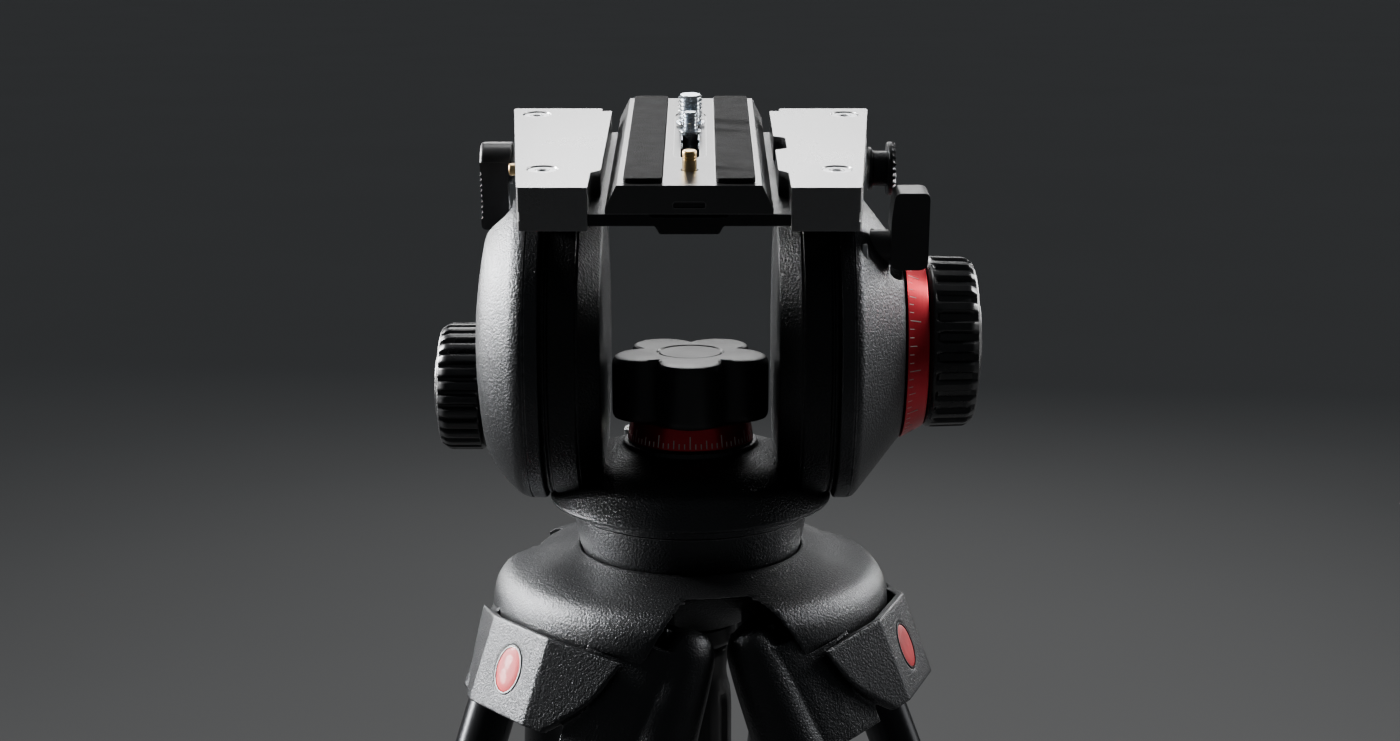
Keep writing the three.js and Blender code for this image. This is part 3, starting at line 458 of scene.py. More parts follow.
class Finish(Enum):
    """The finishes of the object's pieces."""

    CAST = Casting("cast_black", 0.06, 0.9, 0.2, 0.28)
    CAST_FINE = Casting("cast_black_fine", 0.03, 0.7, 0.1, 0.28)
    CROWN = Casting("cast_crown", 0.05, 0.8, 0.18, 0.27)
    YOKE = Casting("cast_yoke", 0.028, 0.9, 0.22, 0.28)
    RIM = Casting("rim_black", 0.012, 0.4, 0.012, 0.24, 0.5)
    BLOCK = Machined("block_satin", 0.25, 0.2)
    PLATE = Machined("plate_satin", 0.1, 0.22)
    TUBE = Machined("tube_black", 0.035, 0.2, (1200.0, 1200.0, 60.0), (0.95, 0.98, 1.05), "tube")
    KNOB = Moulded()
    LEVER = Moulded("lever_black", 0.018, 0.36, 0.1)
    PAD = Rubber()
    FOOT = Rubber("foot_rubber", 0.02, 0.9)
    ZINC = Plated("zinc_plate", (0.72, 0.74, 0.76), (0.62, 0.7, 0.78))
    STEEL = Plated("turned_steel", (0.55, 0.56, 0.57), (0.48, 0.49, 0.5), 0.24)
    BRASS = Plated("turned_brass", (0.72, 0.5, 0.22), (0.8, 0.6, 0.33), 0.2, "brass")
    RED = Anodised()
    RED_FLAT = Anodised("red_anodised_pan", (0.42, 0.006, 0.016), (0.78, 0.03, 0.055), (90.0, 90.0, 4200.0))
    BADGE = Enamel("badge_red", (0.55, 0.006, 0.016), 0.5, 0.06)
    TICK = Enamel("tick_white", (0.75, 0.72, 0.68), 0.4, 0.1)
    VIAL = Enamel("vial_green", (0.45, 0.75, 0.12), 0.05, 1.0, "vial")


MADE: dict[Finish, bpy.types.Material] = {}


def material_of(finish: Finish) -> bpy.types.Material:
    """The finish's material, built once."""
    if finish not in MADE:
        MADE[finish] = finish.value.material()
    return MADE[finish]


# ---- meshes ----

def circle(radius: float, height: float, sides: int = 96) -> Ring:
    """A round ring about Z."""
    return shaped(lambda _: radius, height, sides)


def shaped(radius_at: Callable[[float], float], height: float, sides: int) -> Ring:
    """A ring about Z whose radius changes with its angle."""
    angles = [TAU * i / sides for i in range(sides)]
    return [Vector((radius_at(a) * math.cos(a), radius_at(a) * math.sin(a), height)) for a in angles]


def rounded(profile: Sequence[Sequence[float]], steps: int = 4) -> list[Point]:
    """Rounds a profile's corners.

    Args:
        profile: points (x, y) or (x, y, radius); a radius rounds that corner.
        steps: how many pieces each round has.

    Returns:
        The profile with its rounds as short straight steps.
    """
    points: list[Point] = []
    for i, corner in enumerate(profile):
        here = Vector(corner[:2])
        if len(corner) < 3 or i in (0, len(profile) - 1):
            points.append(tuple(here))
            continue
        before = Vector(profile[i - 1][:2]) - here
        after = Vector(profile[i + 1][:2]) - here
        reach = min(corner[2], before.length * 0.48, after.length * 0.48)
        start, end = here + before.normalized() * reach, here + after.normalized() * reach
        for k in range(steps + 1):
            t = k / steps
            points.append(tuple(start * (1 - t) ** 2 + here * 2 * t * (1 - t) + end * t ** 2))
    return points


class Solid:
    """A mesh under construction, in millimetres of its own frame."""

    def __init__(self, mesh: bpy.types.Mesh) -> None:
        """Wraps a mesh."""
        self.mesh = mesh

    @classmethod
    def loft(cls, rings: Sequence[Ring], closed: bool = False) -> "Solid":
        """Joins rings of equal length into a skin.

        Args:
            rings: the rings, in order.
            closed: joins the last ring to the first; otherwise both ends are capped.

        Returns:
            The solid.
        """
        bm = bmesh.new()
        rows = [[bm.verts.new(p) for p in ring] for ring in rings]
        count = len(rows[0])
        pairs = list(zip(rows, rows[1:])) + ([(rows[-1], rows[0])] if closed else [])
        for low, high in pairs:
            for i in range(count):
                j = (i + 1) % count
                bm.faces.new((low[i], low[j], high[j], high[i]))
        if not closed:
            bm.faces.new(list(reversed(rows[0])))
            bm.faces.new(rows[-1])
        return cls.of(bm)

    @classmethod
    def of(cls, bm: bmesh.types.BMesh) -> "Solid":
        """Takes over a bmesh, with its faces pointing out.

        Args:
            bm: the bmesh, which is freed.

        Returns:
            The solid.
        """
        bmesh.ops.remove_doubles(bm, verts=bm.verts, dist=1e-5)
        bmesh.ops.dissolve_degenerate(bm, dist=1e-5, edges=bm.edges)
        bmesh.ops.recalc_face_normals(bm, faces=bm.faces)
        mesh = bpy.data.meshes.new("work")
        bm.to_mesh(mesh)
        bm.free()
        return cls(mesh)

    @classmethod
    def lathe(cls, profile: Sequence[Sequence[float]], sides: int = 96, steps: int = 4) -> "Solid":
        """Turns a profile of (radius, height[, rounding]) about Z; a profile off the axis closes on itself.

        Args:
            profile: points (radius, height[, rounding]).
            sides: how many faces go round.
            steps: how many pieces each rounded corner has.

        Returns:
            The solid.
        """
        points = rounded(profile, steps)
        ring = points[0][0] > 1e-6
        rings = [circle(max(r, 1e-4), z, sides) for r, z in points]
        return cls.loft(rings, closed=ring)

    @classmethod
    def prism(cls, outline: Sequence[Sequence[float]], low: float, high: float, steps: int = 5) -> "Solid":
        """An outline in XY, its corners rounded where they say so, between two heights.

        Args:
            outline: points (x, y[, rounding]).
            low: the lower height.
            high: the upper height.
            steps: how many pieces each rounded corner has.

        Returns:
            The solid.
        """
        points = rounded([outline[-1], *outline, outline[0]], steps)[1:-1]
        trimmed = []
        for p in points:
            if p not in trimmed:
                trimmed.append(p)
        return cls.loft([[Vector((x, y, z)) for x, y in trimmed] for z in (low, high)])

    @classmethod
    def box(cls, size: Sequence[float], centre: Sequence[float]) -> "Solid":
        """A block, to be joined or cut with.

        Args:
            size: its extent along each axis.
            centre: its middle.

        Returns:
            The solid.
        """
        bm = bmesh.new()
        bmesh.ops.create_cube(bm, size=1.0)
        bm.transform(Matrix.Translation(centre) @ Matrix.Diagonal((*size, 1)))
        return cls.of(bm)

    def moved(self, *matrices: Matrix) -> "Solid":
        """Moves the solid by the matrices, the last one first.

        Args:
            *matrices: moves, the last one made first.

        Returns:
            The solid.
        """
        whole = Matrix.Identity(4)
        for m in matrices:
            whole = whole @ m
        self.mesh.transform(whole)
        if whole.determinant() < 0:
            self.mesh.flip_normals()
        return self

    def cast(self, voxel: float, passes: int) -> "Solid":
        """Blends the solid's creases like a casting's.

        Args:
            voxel: the size of the cells that the surface is rebuilt from.
            passes: how many times it is smoothed.

        Returns:
            The softened solid.
        """
        host = bpy.data.objects.new("host", self.mesh)
        bpy.context.scene.collection.objects.link(host)
        cells = host.modifiers.new("cells", "REMESH")
        cells.mode, cells.voxel_size, cells.use_smooth_shade = "VOXEL", voxel, True
        soft = host.modifiers.new("soft", "SMOOTH")
        soft.factor, soft.iterations = 0.5, passes
        result = bpy.data.meshes.new_from_object(host.evaluated_get(bpy.context.evaluated_depsgraph_get()))
        bpy.data.objects.remove(host)
        return Solid(result)

    def copy(self) -> "Solid":
        """A copy."""
        return Solid(self.mesh.copy())

    def _combine(self, others: Iterable["Solid"], operation: str) -> "Solid":
        """Joins or cuts with other solids.

        Args:
            others: the other solids.
            operation: the Boolean operation.

        Returns:
            The solid.
        """
        host = bpy.data.objects.new("host", self.mesh)
        bpy.context.scene.collection.objects.link(host)
        guests = []
        for other in others:
            guest = bpy.data.objects.new("guest", other.mesh)
            bpy.context.scene.collection.objects.link(guest)
            modifier = host.modifiers.new("b", "BOOLEAN")
            modifier.operation, modifier.object, modifier.solver = operation, guest, "EXACT"
            guests.append(guest)
        result = bpy.data.meshes.new_from_object(host.evaluated_get(bpy.context.evaluated_depsgraph_get()))
        for o in [host, *guests]:
            bpy.data.objects.remove(o)
        return Solid(result)

    def cut(self, *others: "Solid") -> "Solid":
        """Cuts other solids out."""
        return self._combine(others, "DIFFERENCE")

    def meet(self, *others: "Solid") -> "Solid":
        """What this solid shares with others."""
        return self._combine(others, "INTERSECT")

    def join(self, *others: "Solid") -> "Solid":
        """Joins other solids on."""
        return self._combine(others, "UNION")

    def beside(self, *others: "Solid") -> "Solid":
        """Puts other solids in the same mesh, unjoined.

        Args:
            *others: the other solids.

        Returns:
            The solid.
        """
        bm = bmesh.new()
        for solid in (self, *others):
            bm.from_mesh(solid.mesh)
        mesh = bpy.data.meshes.new("work")
        bm.to_mesh(mesh)
        bm.free()
        return Solid(mesh)


def shift(x: float = 0, y: float = 0, z: float = 0) -> Matrix:
    """A move."""
    return Matrix.Translation((x, y, z))


def turn(axis: str, degrees: float) -> Matrix:
    """A turn about an axis."""
    return Matrix.Rotation(math.radians(degrees), 4, axis)


def across(side: int = 1) -> Matrix:
    """Lays a solid made about Z along +X, or along -X for side -1."""
    lay = turn("Y", 90)
    return lay if side > 0 else Matrix.Diagonal((-1, 1, 1, 1)) @ lay


def mirrored() -> Matrix:
    """A mirror in X."""
    return Matrix.Diagonal((-1, 1, 1, 1))


@dataclass(frozen=True)
class Edge:
    """How a piece's edges are softened.

    Attributes:
        width: the bevel's width in millimetres; 0 leaves the edges.
        steps: how many faces it has.
        angle: only edges sharper than this, in degrees, are softened.
    """

    width: float = 0.5
    steps: int = 2
    angle: float = 32


@dataclass
class Bench:
    """A local frame in millimetres, and the making of pieces in it.

    Attributes:
        place: from the local frame in millimetres to the row frame in metres.
        body: the body that its pieces ride on.
    """

    place: Matrix
    body: str

    def add(self, name: str, solid: Solid, finish: Finish, stands_for: Sequence[str] = (),
            edge: Edge = Edge(), body: str = "", smooth: float = 30, weigh: bool = True) -> bpy.types.Object:
        """Makes one finished piece.

        Args:
            name: the piece's name.
            solid: its shape in the local frame.
            finish: its finish.
            stands_for: the CAD nodes that it replaces.
            edge: how its edges are softened.
            body: its body, if it isn't the bench's.
            smooth: edges flatter than this many degrees are shaded smooth.
            weigh: whether large faces keep their own normals.

        Returns:
            The piece.
        """
        piece = bpy.data.objects.new(name, solid.mesh)
        bpy.context.scene.collection.objects.link(piece)
        if edge.width:
            bevel = piece.modifiers.new("edge", "BEVEL")
            bevel.width, bevel.segments = edge.width, edge.steps
            bevel.limit_method, bevel.angle_limit = "ANGLE", math.radians(edge.angle)
            bevel.use_clamp_overlap, bevel.harden_normals = True, False
            done = bpy.data.meshes.new_from_object(piece.evaluated_get(bpy.context.evaluated_depsgraph_get()))
            piece.modifiers.clear()
            piece.data = done
        piece.data.transform(self.place)
        if self.place.determinant() < 0:
            piece.data.flip_normals()
        piece.data.materials.clear()
        piece.data.materials.append(material_of(finish))
        piece.data.polygons.foreach_set("use_smooth", [True] * len(piece.data.polygons))
        piece.data.set_sharp_from_angle(angle=math.radians(smooth))
        if weigh:
            even = piece.modifiers.new("even", "WEIGHTED_NORMAL")
            even.keep_sharp, even.weight = True, 100
        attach(piece, body or self.body)
        if stands_for:
            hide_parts(*stands_for)
        log.info("%s: %d faces, rides on %s", name, len(piece.data.polygons), body or self.body)
        return piece


JOINTS = {j["name"]: j for j in frame["joints"]}


def at(joint: str) -> Vector:
    """Where a joint is, in metres."""
    return Vector(JOINTS[joint]["pos_m"])


def in_frame(origin: Vector, turned: Matrix = Matrix.Identity(4)) -> Matrix:
    """A local frame in millimetres at a point in metres."""
    return Matrix.Translation(origin) @ turned @ Matrix.Diagonal((MM, MM, MM, 1))


TILT_AXIS = at("tilt")
SLIDE = Vector(JOINTS["plate_slide"]["axis"])
LEAN = math.degrees(math.atan2(SLIDE.z, SLIDE.y))
TILTED = in_frame(TILT_AXIS, turn("X", LEAN))
UPRIGHT = in_frame(TILT_AXIS)


# ---- the head's pieces ----

def ribbed(base: Sequence[Sequence[float]], ribs: int, depth: float, band: Point,
           soft: float = 0.25, fine: int = 12) -> Solid:
    """A knob about Z with ribs round its edge.

    Args:
        base: the profile (radius, height[, rounding]) from axis to axis.
        ribs: how many ribs it has.
        depth: how deep the hollows are.
        band: the heights between which the hollows run.
        soft: the share of a rib's pitch that each flank takes.
        fine: faces for each rib.

    Returns:
        The solid.
    """
    profile = []
    points = rounded(base, 5)
    for (r0, z0), (r1, z1) in zip(points, points[1:]):
        pieces = max(1, int(abs(z1 - z0) / 1.2))
        profile += [(r0 + (r1 - r0) * k / pieces, z0 + (z1 - z0) * k / pieces) for k in range(pieces)]
    profile.append(points[-1])
    low, high = band

    def radius(r: float, z: float, angle: float) -> float:
        """The edge's radius at an angle.

        Args:
            r: the profile's radius.
            z: the height.
            angle: the angle about the axis.

        Returns:
            The radius.
        """
        phase = abs((angle * ribs / TAU) % 1 - 0.5) * 2
        hollow = min(1.0, max(0.0, (phase - 0.42) / (2 * soft)))
        ends = min(1.0, max(0.0, (z - low) / 1.6)) * min(1.0, max(0.0, (high - z) / 1.6))
        hollow = hollow * hollow * (3 - 2 * hollow) * ends ** 0.5
        return r - depth * hollow * (1 if r > depth * 4 else 0)

    sides = ribs * fine
    return Solid.loft([shaped(lambda a, r=r, z=z: radius(r, z, a), z, sides) for r, z in profile])


def socket_head(radius: float, depth: float, hexagon: float) -> Solid:
    """A countersunk screw's head with a six-sided socket, its face at height 0.

    Args:
        radius: its outer radius.
        depth: how deep it goes.
        hexagon: the radius of the socket across its corners.

    Returns:
        The solid.
    """
    cone = Solid.lathe([(0, -depth), (radius * 0.5, -depth), (radius, -0.5), (radius, 0, 0.2), (0, 0)], 40)
    socket = Solid.loft([circle(hexagon, z, 6) for z in (-depth * 0.7, 1)])
    ring = Solid.lathe([(hexagon + 0.5, -0.3), (hexagon + 0.9, -0.3), (hexagon + 0.9, 1), (hexagon + 0.5, 1)],
                       40)
    return cone.cut(socket, ring)


@dataclass
class Platform:
    """The two flat-topped blocks and the bridge under the camera plate."""

    bottom: float = 62
    top: float = 77.5
    inner: float = 31.5
    front: float = 68
    back: float = 64
    front_half: float = 59.3
    back_half: float = 71
    bridge: float = 6
    rib_half: float = 10.3
    rib_depth: float = 1.4
    screw_spots: tuple[Point, ...] = ((52.3, -40.5), (61, 53))
    screw_radius: float = 5.7
    notch: tuple[float, float, float] = (1.5, 11.5, 4.4)

    def side_at(self, y: float) -> float:
        """The outer face of a block at a place along it."""
        share = (y + self.front) / (self.front + self.back)
        return self.front_half + (self.back_half - self.front_half) * share

    def block(self, notched: bool) -> Solid:
        """The block at +X, with its gib lip and countersinks, and the notch in its inner edge if it has one.

        Args:
            notched: whether its inner edge has the notch.

        Returns:
            The solid.
        """
        inner, (middle, half, deep) = self.inner, self.notch
        outline = [
            (self.front_half, -self.front, 1.6), (self.back_half, self.back, 2.2),
            (inner + 4, self.back, 1.2),
            (inner + 4, self.back - 5, 0.8), (inner, self.back - 5, 0.8),
            *([(inner, middle + half, 0.6), (inner + deep, middle + half - 2, 2.2),
               (inner + deep, middle - half + 2, 2.2), (inner, middle - half, 0.6)] if notched else []),
            (inner, -self.front + 26, 0.8), (inner + 3.5, -self.front + 22, 0.8),
            (inner + 3.5, -self.front, 0.8),
        ]
        body = Solid.prism(outline, self.bottom, self.top)
        cutters = []
        for x, y in self.screw_spots:
            profile = [(0, -4.2), (3.1, -4.2), (self.screw_radius, -0.4), (self.screw_radius + 0.25, 1),
                       (0, 1)]
            cutters.append(Solid.lathe(profile, 48).moved(shift(x, y, self.top)))
        groove = Solid.box((30, 0.5, 0.5), (self.front_half, self.back - 0.2, self.top - 5))
        side = Solid.prism([(0, 0), (1.1, 0), (1.1, 3.2), (0, 3.2)], -90, 90)
        seam = side.moved(turn("Z", -5.05), shift(self.side_at(0) - 1.0, 0, self.bottom + 3.4), turn("X", 90))
        return body.cut(*cutters, groove, seam)

    def build(self, bench: Bench) -> None:
        """Makes the blocks, the bridge and the screws.

        Args:
            bench: where its pieces are made.
        """
        half = self.inner + 4.5
        top = self.bottom + self.bridge
        low = self.bottom + 1.5
        deck = [(-half, low), (-self.rib_half - 1.6, low, 0.6),
                (-self.rib_half, self.bottom - self.rib_depth, 0.6),
                (self.rib_half, self.bottom - self.rib_depth, 0.6),
                (self.rib_half + 1.6, low, 0.6), (half, low), (half, top), (14, top, 0.5),
                (13, top - 1.2, 0.5), (-13, top - 1.2, 0.5), (-14, top, 0.5), (-half, top)]
        bridge = Solid.prism(deck, -self.back + 0.6, self.front - 0.6).moved(turn("X", 90))
        right = self.block(True)
        left = self.block(False).moved(mirrored())
        bench.add("platform_block_right", right, Finish.BLOCK, ["top_platform"], Edge(0.8, 3))
        bench.add("platform_block_left", left, Finish.BLOCK, edge=Edge(0.8, 3))
        bench.add("platform_bridge", bridge, Finish.CAST_FINE, edge=Edge(0.5, 2))
        heads = []
        for side in (-1, 1):
            for x, y in self.screw_spots:
                head = socket_head(self.screw_radius - 0.5, 3.6, 1.9)
                heads.append(head.moved(shift(side * x, y, self.top - 0.45), turn("Z", 17 * x)))
        bench.add("platform_screws", heads[0].beside(*heads[1:]), Finish.STEEL, edge=Edge(0.12, 2))


@dataclass
class Thread:
    """A screw thread about Z."""

    radius: float
    pitch: float
    low: float
    high: float
    chamfer: float = 1.0

    def build(self) -> Solid:
        """A helical thread with a chamfered end.

        Returns:
            The solid.
        """
        steps = int((self.high - self.low) / self.pitch * 10)
        rings = []
        for k in range(steps + 1):
            z = self.low + (self.high - self.low) * k / steps
            taper = max(0.0, z - (self.high - self.chamfer))

            def radius(angle: float, z: float = z, taper: float = taper) -> float:
                """The thread's radius at an angle."""
                phase = ((z - self.low) / self.pitch - angle / TAU) % 1
                return min(self.radius - 0.6 * self.pitch * abs(phase * 2 - 1) ** 1.0, self.radius - taper)

            rings.append(shaped(radius, z, 40))
        return Solid.loft(rings)


@dataclass
class CameraPlate:
    """The sliding plate, its rubber strips, camera screws and sprung pin."""

    top: float = 78.5
    thickness: float = 10.2
    back: float = 79.5
    length: float = 148.5
    top_width: float = 50
    bottom_width: float = 60
    slot_width: float = 7
    slot: Point = (-26, 50)
    strip: Point = (9.2, 22.8)
    strip_height: float = 1.5
    gap: float = 0.3
    rear_screw: tuple[float, float, float, float] = (30, 4.76, 5.6, 10.5)
    front_screw: tuple[float, float, float, float] = (14.5, 3.18, 4.2, 7)
    pin: tuple[float, float, float] = (-46, 2.6, 7)

    def plate(self) -> Solid:
        """The dovetailed plate with its slot, groove and markings.

        Returns:
            The solid.
        """
        bottom = self.top - self.thickness
        half, foot = self.top_width / 2, self.bottom_width / 2 - 1
        section = [(-foot, bottom, 0.5), (foot, bottom, 0.5), (foot, bottom + 2, 0.6), (half, self.top, 0.3),
                   (-half, self.top, 0.3), (-foot, bottom + 2, 0.6)]
        body = Solid.prism(section, -self.back, self.length - self.back).moved(turn("X", 90))
        front, back = self.slot
        width = self.slot_width / 2
        slot = Solid.prism([(-width, front, 3.4), (width, front, 3.4), (width, back, 3.4),
                            (-width, back, 3.4)],
                           bottom - 1, self.top + 1)
        groove = Solid.box((13, back - front + 6, 10.8), (0, (front + back) / 2, bottom))
        counterbore = Solid.prism([(-6, front - 2, 5.8), (6, front - 2, 5.8), (6, back + 2, 5.8),
                                   (-6, back + 2, 5.8)],
                                  self.top - 0.5, self.top + 1)
        y, radius, _ = self.pin
        hole = Solid.lathe([(0, -5), (radius + self.gap, -5), (radius + self.gap, -0.6), (radius + 0.9, 0.2),
                            (radius + 0.9, 1), (0, 1)], 40).moved(shift(0, y, self.top))
        end = self.back - self.length
        window = Solid.prism([(-5.6, -1.1, 1), (5.6, -1.1, 1), (5.6, 1.1, 1), (-5.6, 1.1, 1)], -1, 3)
        window.moved(shift(0, end, bottom + 3.2), turn("X", -90))
        pads = []
        for side in (-1, 1):
            x0, x1 = (side * v for v in self.strip)
            low, high = min(x0, x1) - 0.25, max(x0, x1) + 0.25
            y0, y1 = end + 2.75, self.back - 2.75
            outline = [(low, y0, 2), (high, y0, 2), (high, y1, 2), (low, y1, 2)]
            pads.append(Solid.prism(outline, self.top - 0.35, self.top + 1))
        marks = [Solid.box((1.6, 0.3, 1), (24.2, -30 + 5 * k, self.top)) for k in range(13)]
        return body.cut(slot, groove, counterbore, hole, window, *pads, *marks)

    def strips(self) -> list[Solid]:
        """The two rubber strips.

        Returns:
            The solids.
        """
        made = []
        for side in (-1, 1):
            x0, x1 = sorted(side * v for v in self.strip)
            y0, y1 = self.back - self.length + 3, self.back - 3
            outline = [(x0, y0, 1.8), (x1, y0, 1.8), (x1, y1, 1.8), (x0, y1, 1.8)]
            made.append(Solid.prism(outline, self.top - 0.3, self.top + self.gap + self.strip_height))
        return made

    def screw(self, spec: Sequence[float], pitch: float) -> Solid:
        """A camera screw: slotted head below, a plain round collar standing for the knurled one on the plate,
        thread above.

        Args:
            spec: its place along the plate, radius, flange radius and height.
            pitch: the thread's pitch.

        Returns:
            The solid.
        """
        y, radius, flange, stands = spec
        low = self.top - self.thickness + 0.4
        shoulder = self.top + 1.1
        head = Solid.lathe([(0, low), (6.1, low, 0.4), (6.1, low + 4.6, 0.4), (3, low + 4.6),
                            (3, self.top + self.gap),
                            (flange, self.top + self.gap, 0.3), (flange, shoulder, 0.4),
                            (radius * 0.8, shoulder),
                            (0, shoulder)], 48)
        slotted = head.cut(Solid.box((14, 1.4, 1.6), (0, 0, low)))
        thread = Thread(radius, pitch, shoulder - 0.2, shoulder + stands).build()
        return slotted.beside(thread).moved(shift(0, y, 0))

    def pin_piece(self) -> Solid:
        """The locating pin, with the turned grooves at its top.

        Returns:
            The solid.
        """
        y, r, stands = self.pin
        h = self.top + stands
        rings = [(r, h - 3.4), (r - 0.3, h - 3.1), (r, h - 2.8), (r, h - 2.4), (r - 0.3, h - 2.1),
                 (r, h - 1.8)]
        return Solid.lathe([(0, self.top - 4.6), (r, self.top - 4.6), *rings, (r, h, 0.7), (0, h)],
                           40).moved(shift(0, y))

    def build(self, bench: Bench) -> None:
        """Makes the plate and what stands on it.

        Args:
            bench: where its pieces are made.
        """
        bench.add("sliding_camera_plate", self.plate(), Finish.PLATE, ["camera_plate"], Edge(0.35, 2))
        left, right = self.strips()
        bench.add("grip_strip_left", left, Finish.PAD, ["rubber_strip_left"], Edge(0.4, 3))
        bench.add("grip_strip_right", right, Finish.PAD, ["rubber_strip_right"], Edge(0.4, 3))
        rear, front = self.screw(self.rear_screw, 1.5875), self.screw(self.front_screw, 1.27)
        bench.add("screw_rear", rear, Finish.ZINC, ["camera_screw_three_eighths"], Edge(0),
                  "screw_three_eighths")
        bench.add("screw_front", front, Finish.ZINC, ["camera_screw_quarter"], Edge(0), "screw_quarter")
        bench.add("sprung_pin", self.pin_piece(), Finish.BRASS, ["locating_pin"], Edge(0))


@dataclass
class SideFittings:
    """The plate lock and the pan bar's rosette, on the platform's sides."""

    platform: Platform
    height: float = 68
    lock_y: float = 9
    lock_outer: float = 79
    lock_radius: float = 8
    paddle: float = 10.6
    thickness: float = 6
    reach: float = 24
    rosette_radius: float = 10
    collar: float = 7
    teeth: int = 24

    def plate_lock(self) -> Solid:
        """A hub across the head with a paddle hanging from its front.

        Returns:
            The solid.
        """
        inner = self.platform.side_at(self.lock_y + self.lock_radius) + 0.3
        long = self.lock_outer - inner
        hub = Solid.lathe([(0, 0), (self.lock_radius, 0, 0.3), (self.lock_radius, long, 1.6), (0, long)], 64)
        hub.moved(shift(-inner, self.lock_y, self.height), across(-1))
        tip, front = self.height - self.reach, self.lock_y - self.lock_radius
        x0, x1 = -self.lock_outer, -self.lock_outer + self.paddle
        edge = [(x0, self.height + 2)]
        for k in range(9):
            z = self.height - 1.5 - 2.1 * k
            edge += [(x0, z, 0.3), (x0 + 0.7, z - 0.5, 0.2), (x0 + 0.7, z - 1.0, 0.2), (x0, z - 1.5, 0.3)]
        outline = [*edge, (x0, tip, 2.6), (x1, tip, 2.2), (x1, self.height + 2, 1.5)]
        leaf = Solid.prism([(x, z, *r) for x, z, *r in outline], 0, self.thickness, 3)
        leaf.moved(shift(0, front + self.thickness, 0), turn("X", 90))
        return hub.join(leaf)

    def rosette(self) -> list[Solid]:
        """The shank and the toothed flange, with its teeth on the outer face.

        Returns:
            The solids.
        """
        inner = self.platform.side_at(self.rosette_radius) + 0.3
        shank = Solid.lathe([(0, 0), (8, 0), (8, 1.2, 0.3), (6.6, 1.8, 0.3), (6.6, self.collar + 0.2),
                             (0, self.collar + 0.2)], 64)
        rings = []
        sides = self.teeth * 8
        for r, z, wave in ((0, 0, 0), (9.7, 0, 0), (10, 0.5, 0), (10, 1.6, 0), (9.8, 2.1, 1), (5.6, 2.3, 1),
                           (5.2, 1.4, 0), (0, 1.4, 0)):
            ring = []
            for k in range(sides):
                a = TAU * k / sides
                tooth = abs((k / 8) % 1 - 0.5) * 2 * wave
                ring.append(Vector(((r - 0.9 * tooth * (r > 9)) * math.cos(a),
                                    (r - 0.9 * tooth * (r > 9)) * math.sin(a), z + 0.8 * (wave - tooth))))
            rings.append(ring)
        flange = Solid.loft(rings)
        nut = Solid.lathe([(0, 1.2), (3.4, 1.2), (3.4, 2.6, 0.4), (0, 2.6)], 6)
        place = shift(inner, 0, self.height) @ across()
        return [shank.moved(place), flange.moved(place, shift(0, 0, self.collar)),
                nut.moved(place, shift(0, 0, self.collar))]

    def build(self, bench: Bench) -> None:
        """Makes both fittings.

        Args:
            bench: where its pieces are made.
        """
        bench.add("plate_lock", self.plate_lock(), Finish.LEVER, ["plate_lock_lever"], Edge(0.5, 3),
                  "plate_lock")
        shank, flange, nut = self.rosette()
        bench.add("rosette_flange", flange, Finish.CAST_FINE, ["pan_bar_rosette"], Edge(0))
        bench.add("rosette_shank", shank, Finish.CAST_FINE, edge=Edge(0))
        bench.add("rosette_nut", nut, Finish.STEEL, edge=Edge(0.2, 2))
        pin = Solid.lathe([(0, 0), (2.2, 0), (2.2, 3.4, 0.5), (0, 3.4)], 32)
        place = shift(-self.platform.side_at(-14) + 1, -14, self.height + 3) @ across(-1)
        bench.add("plate_lock_pin", pin.moved(place), Finish.BRASS, edge=Edge(0))


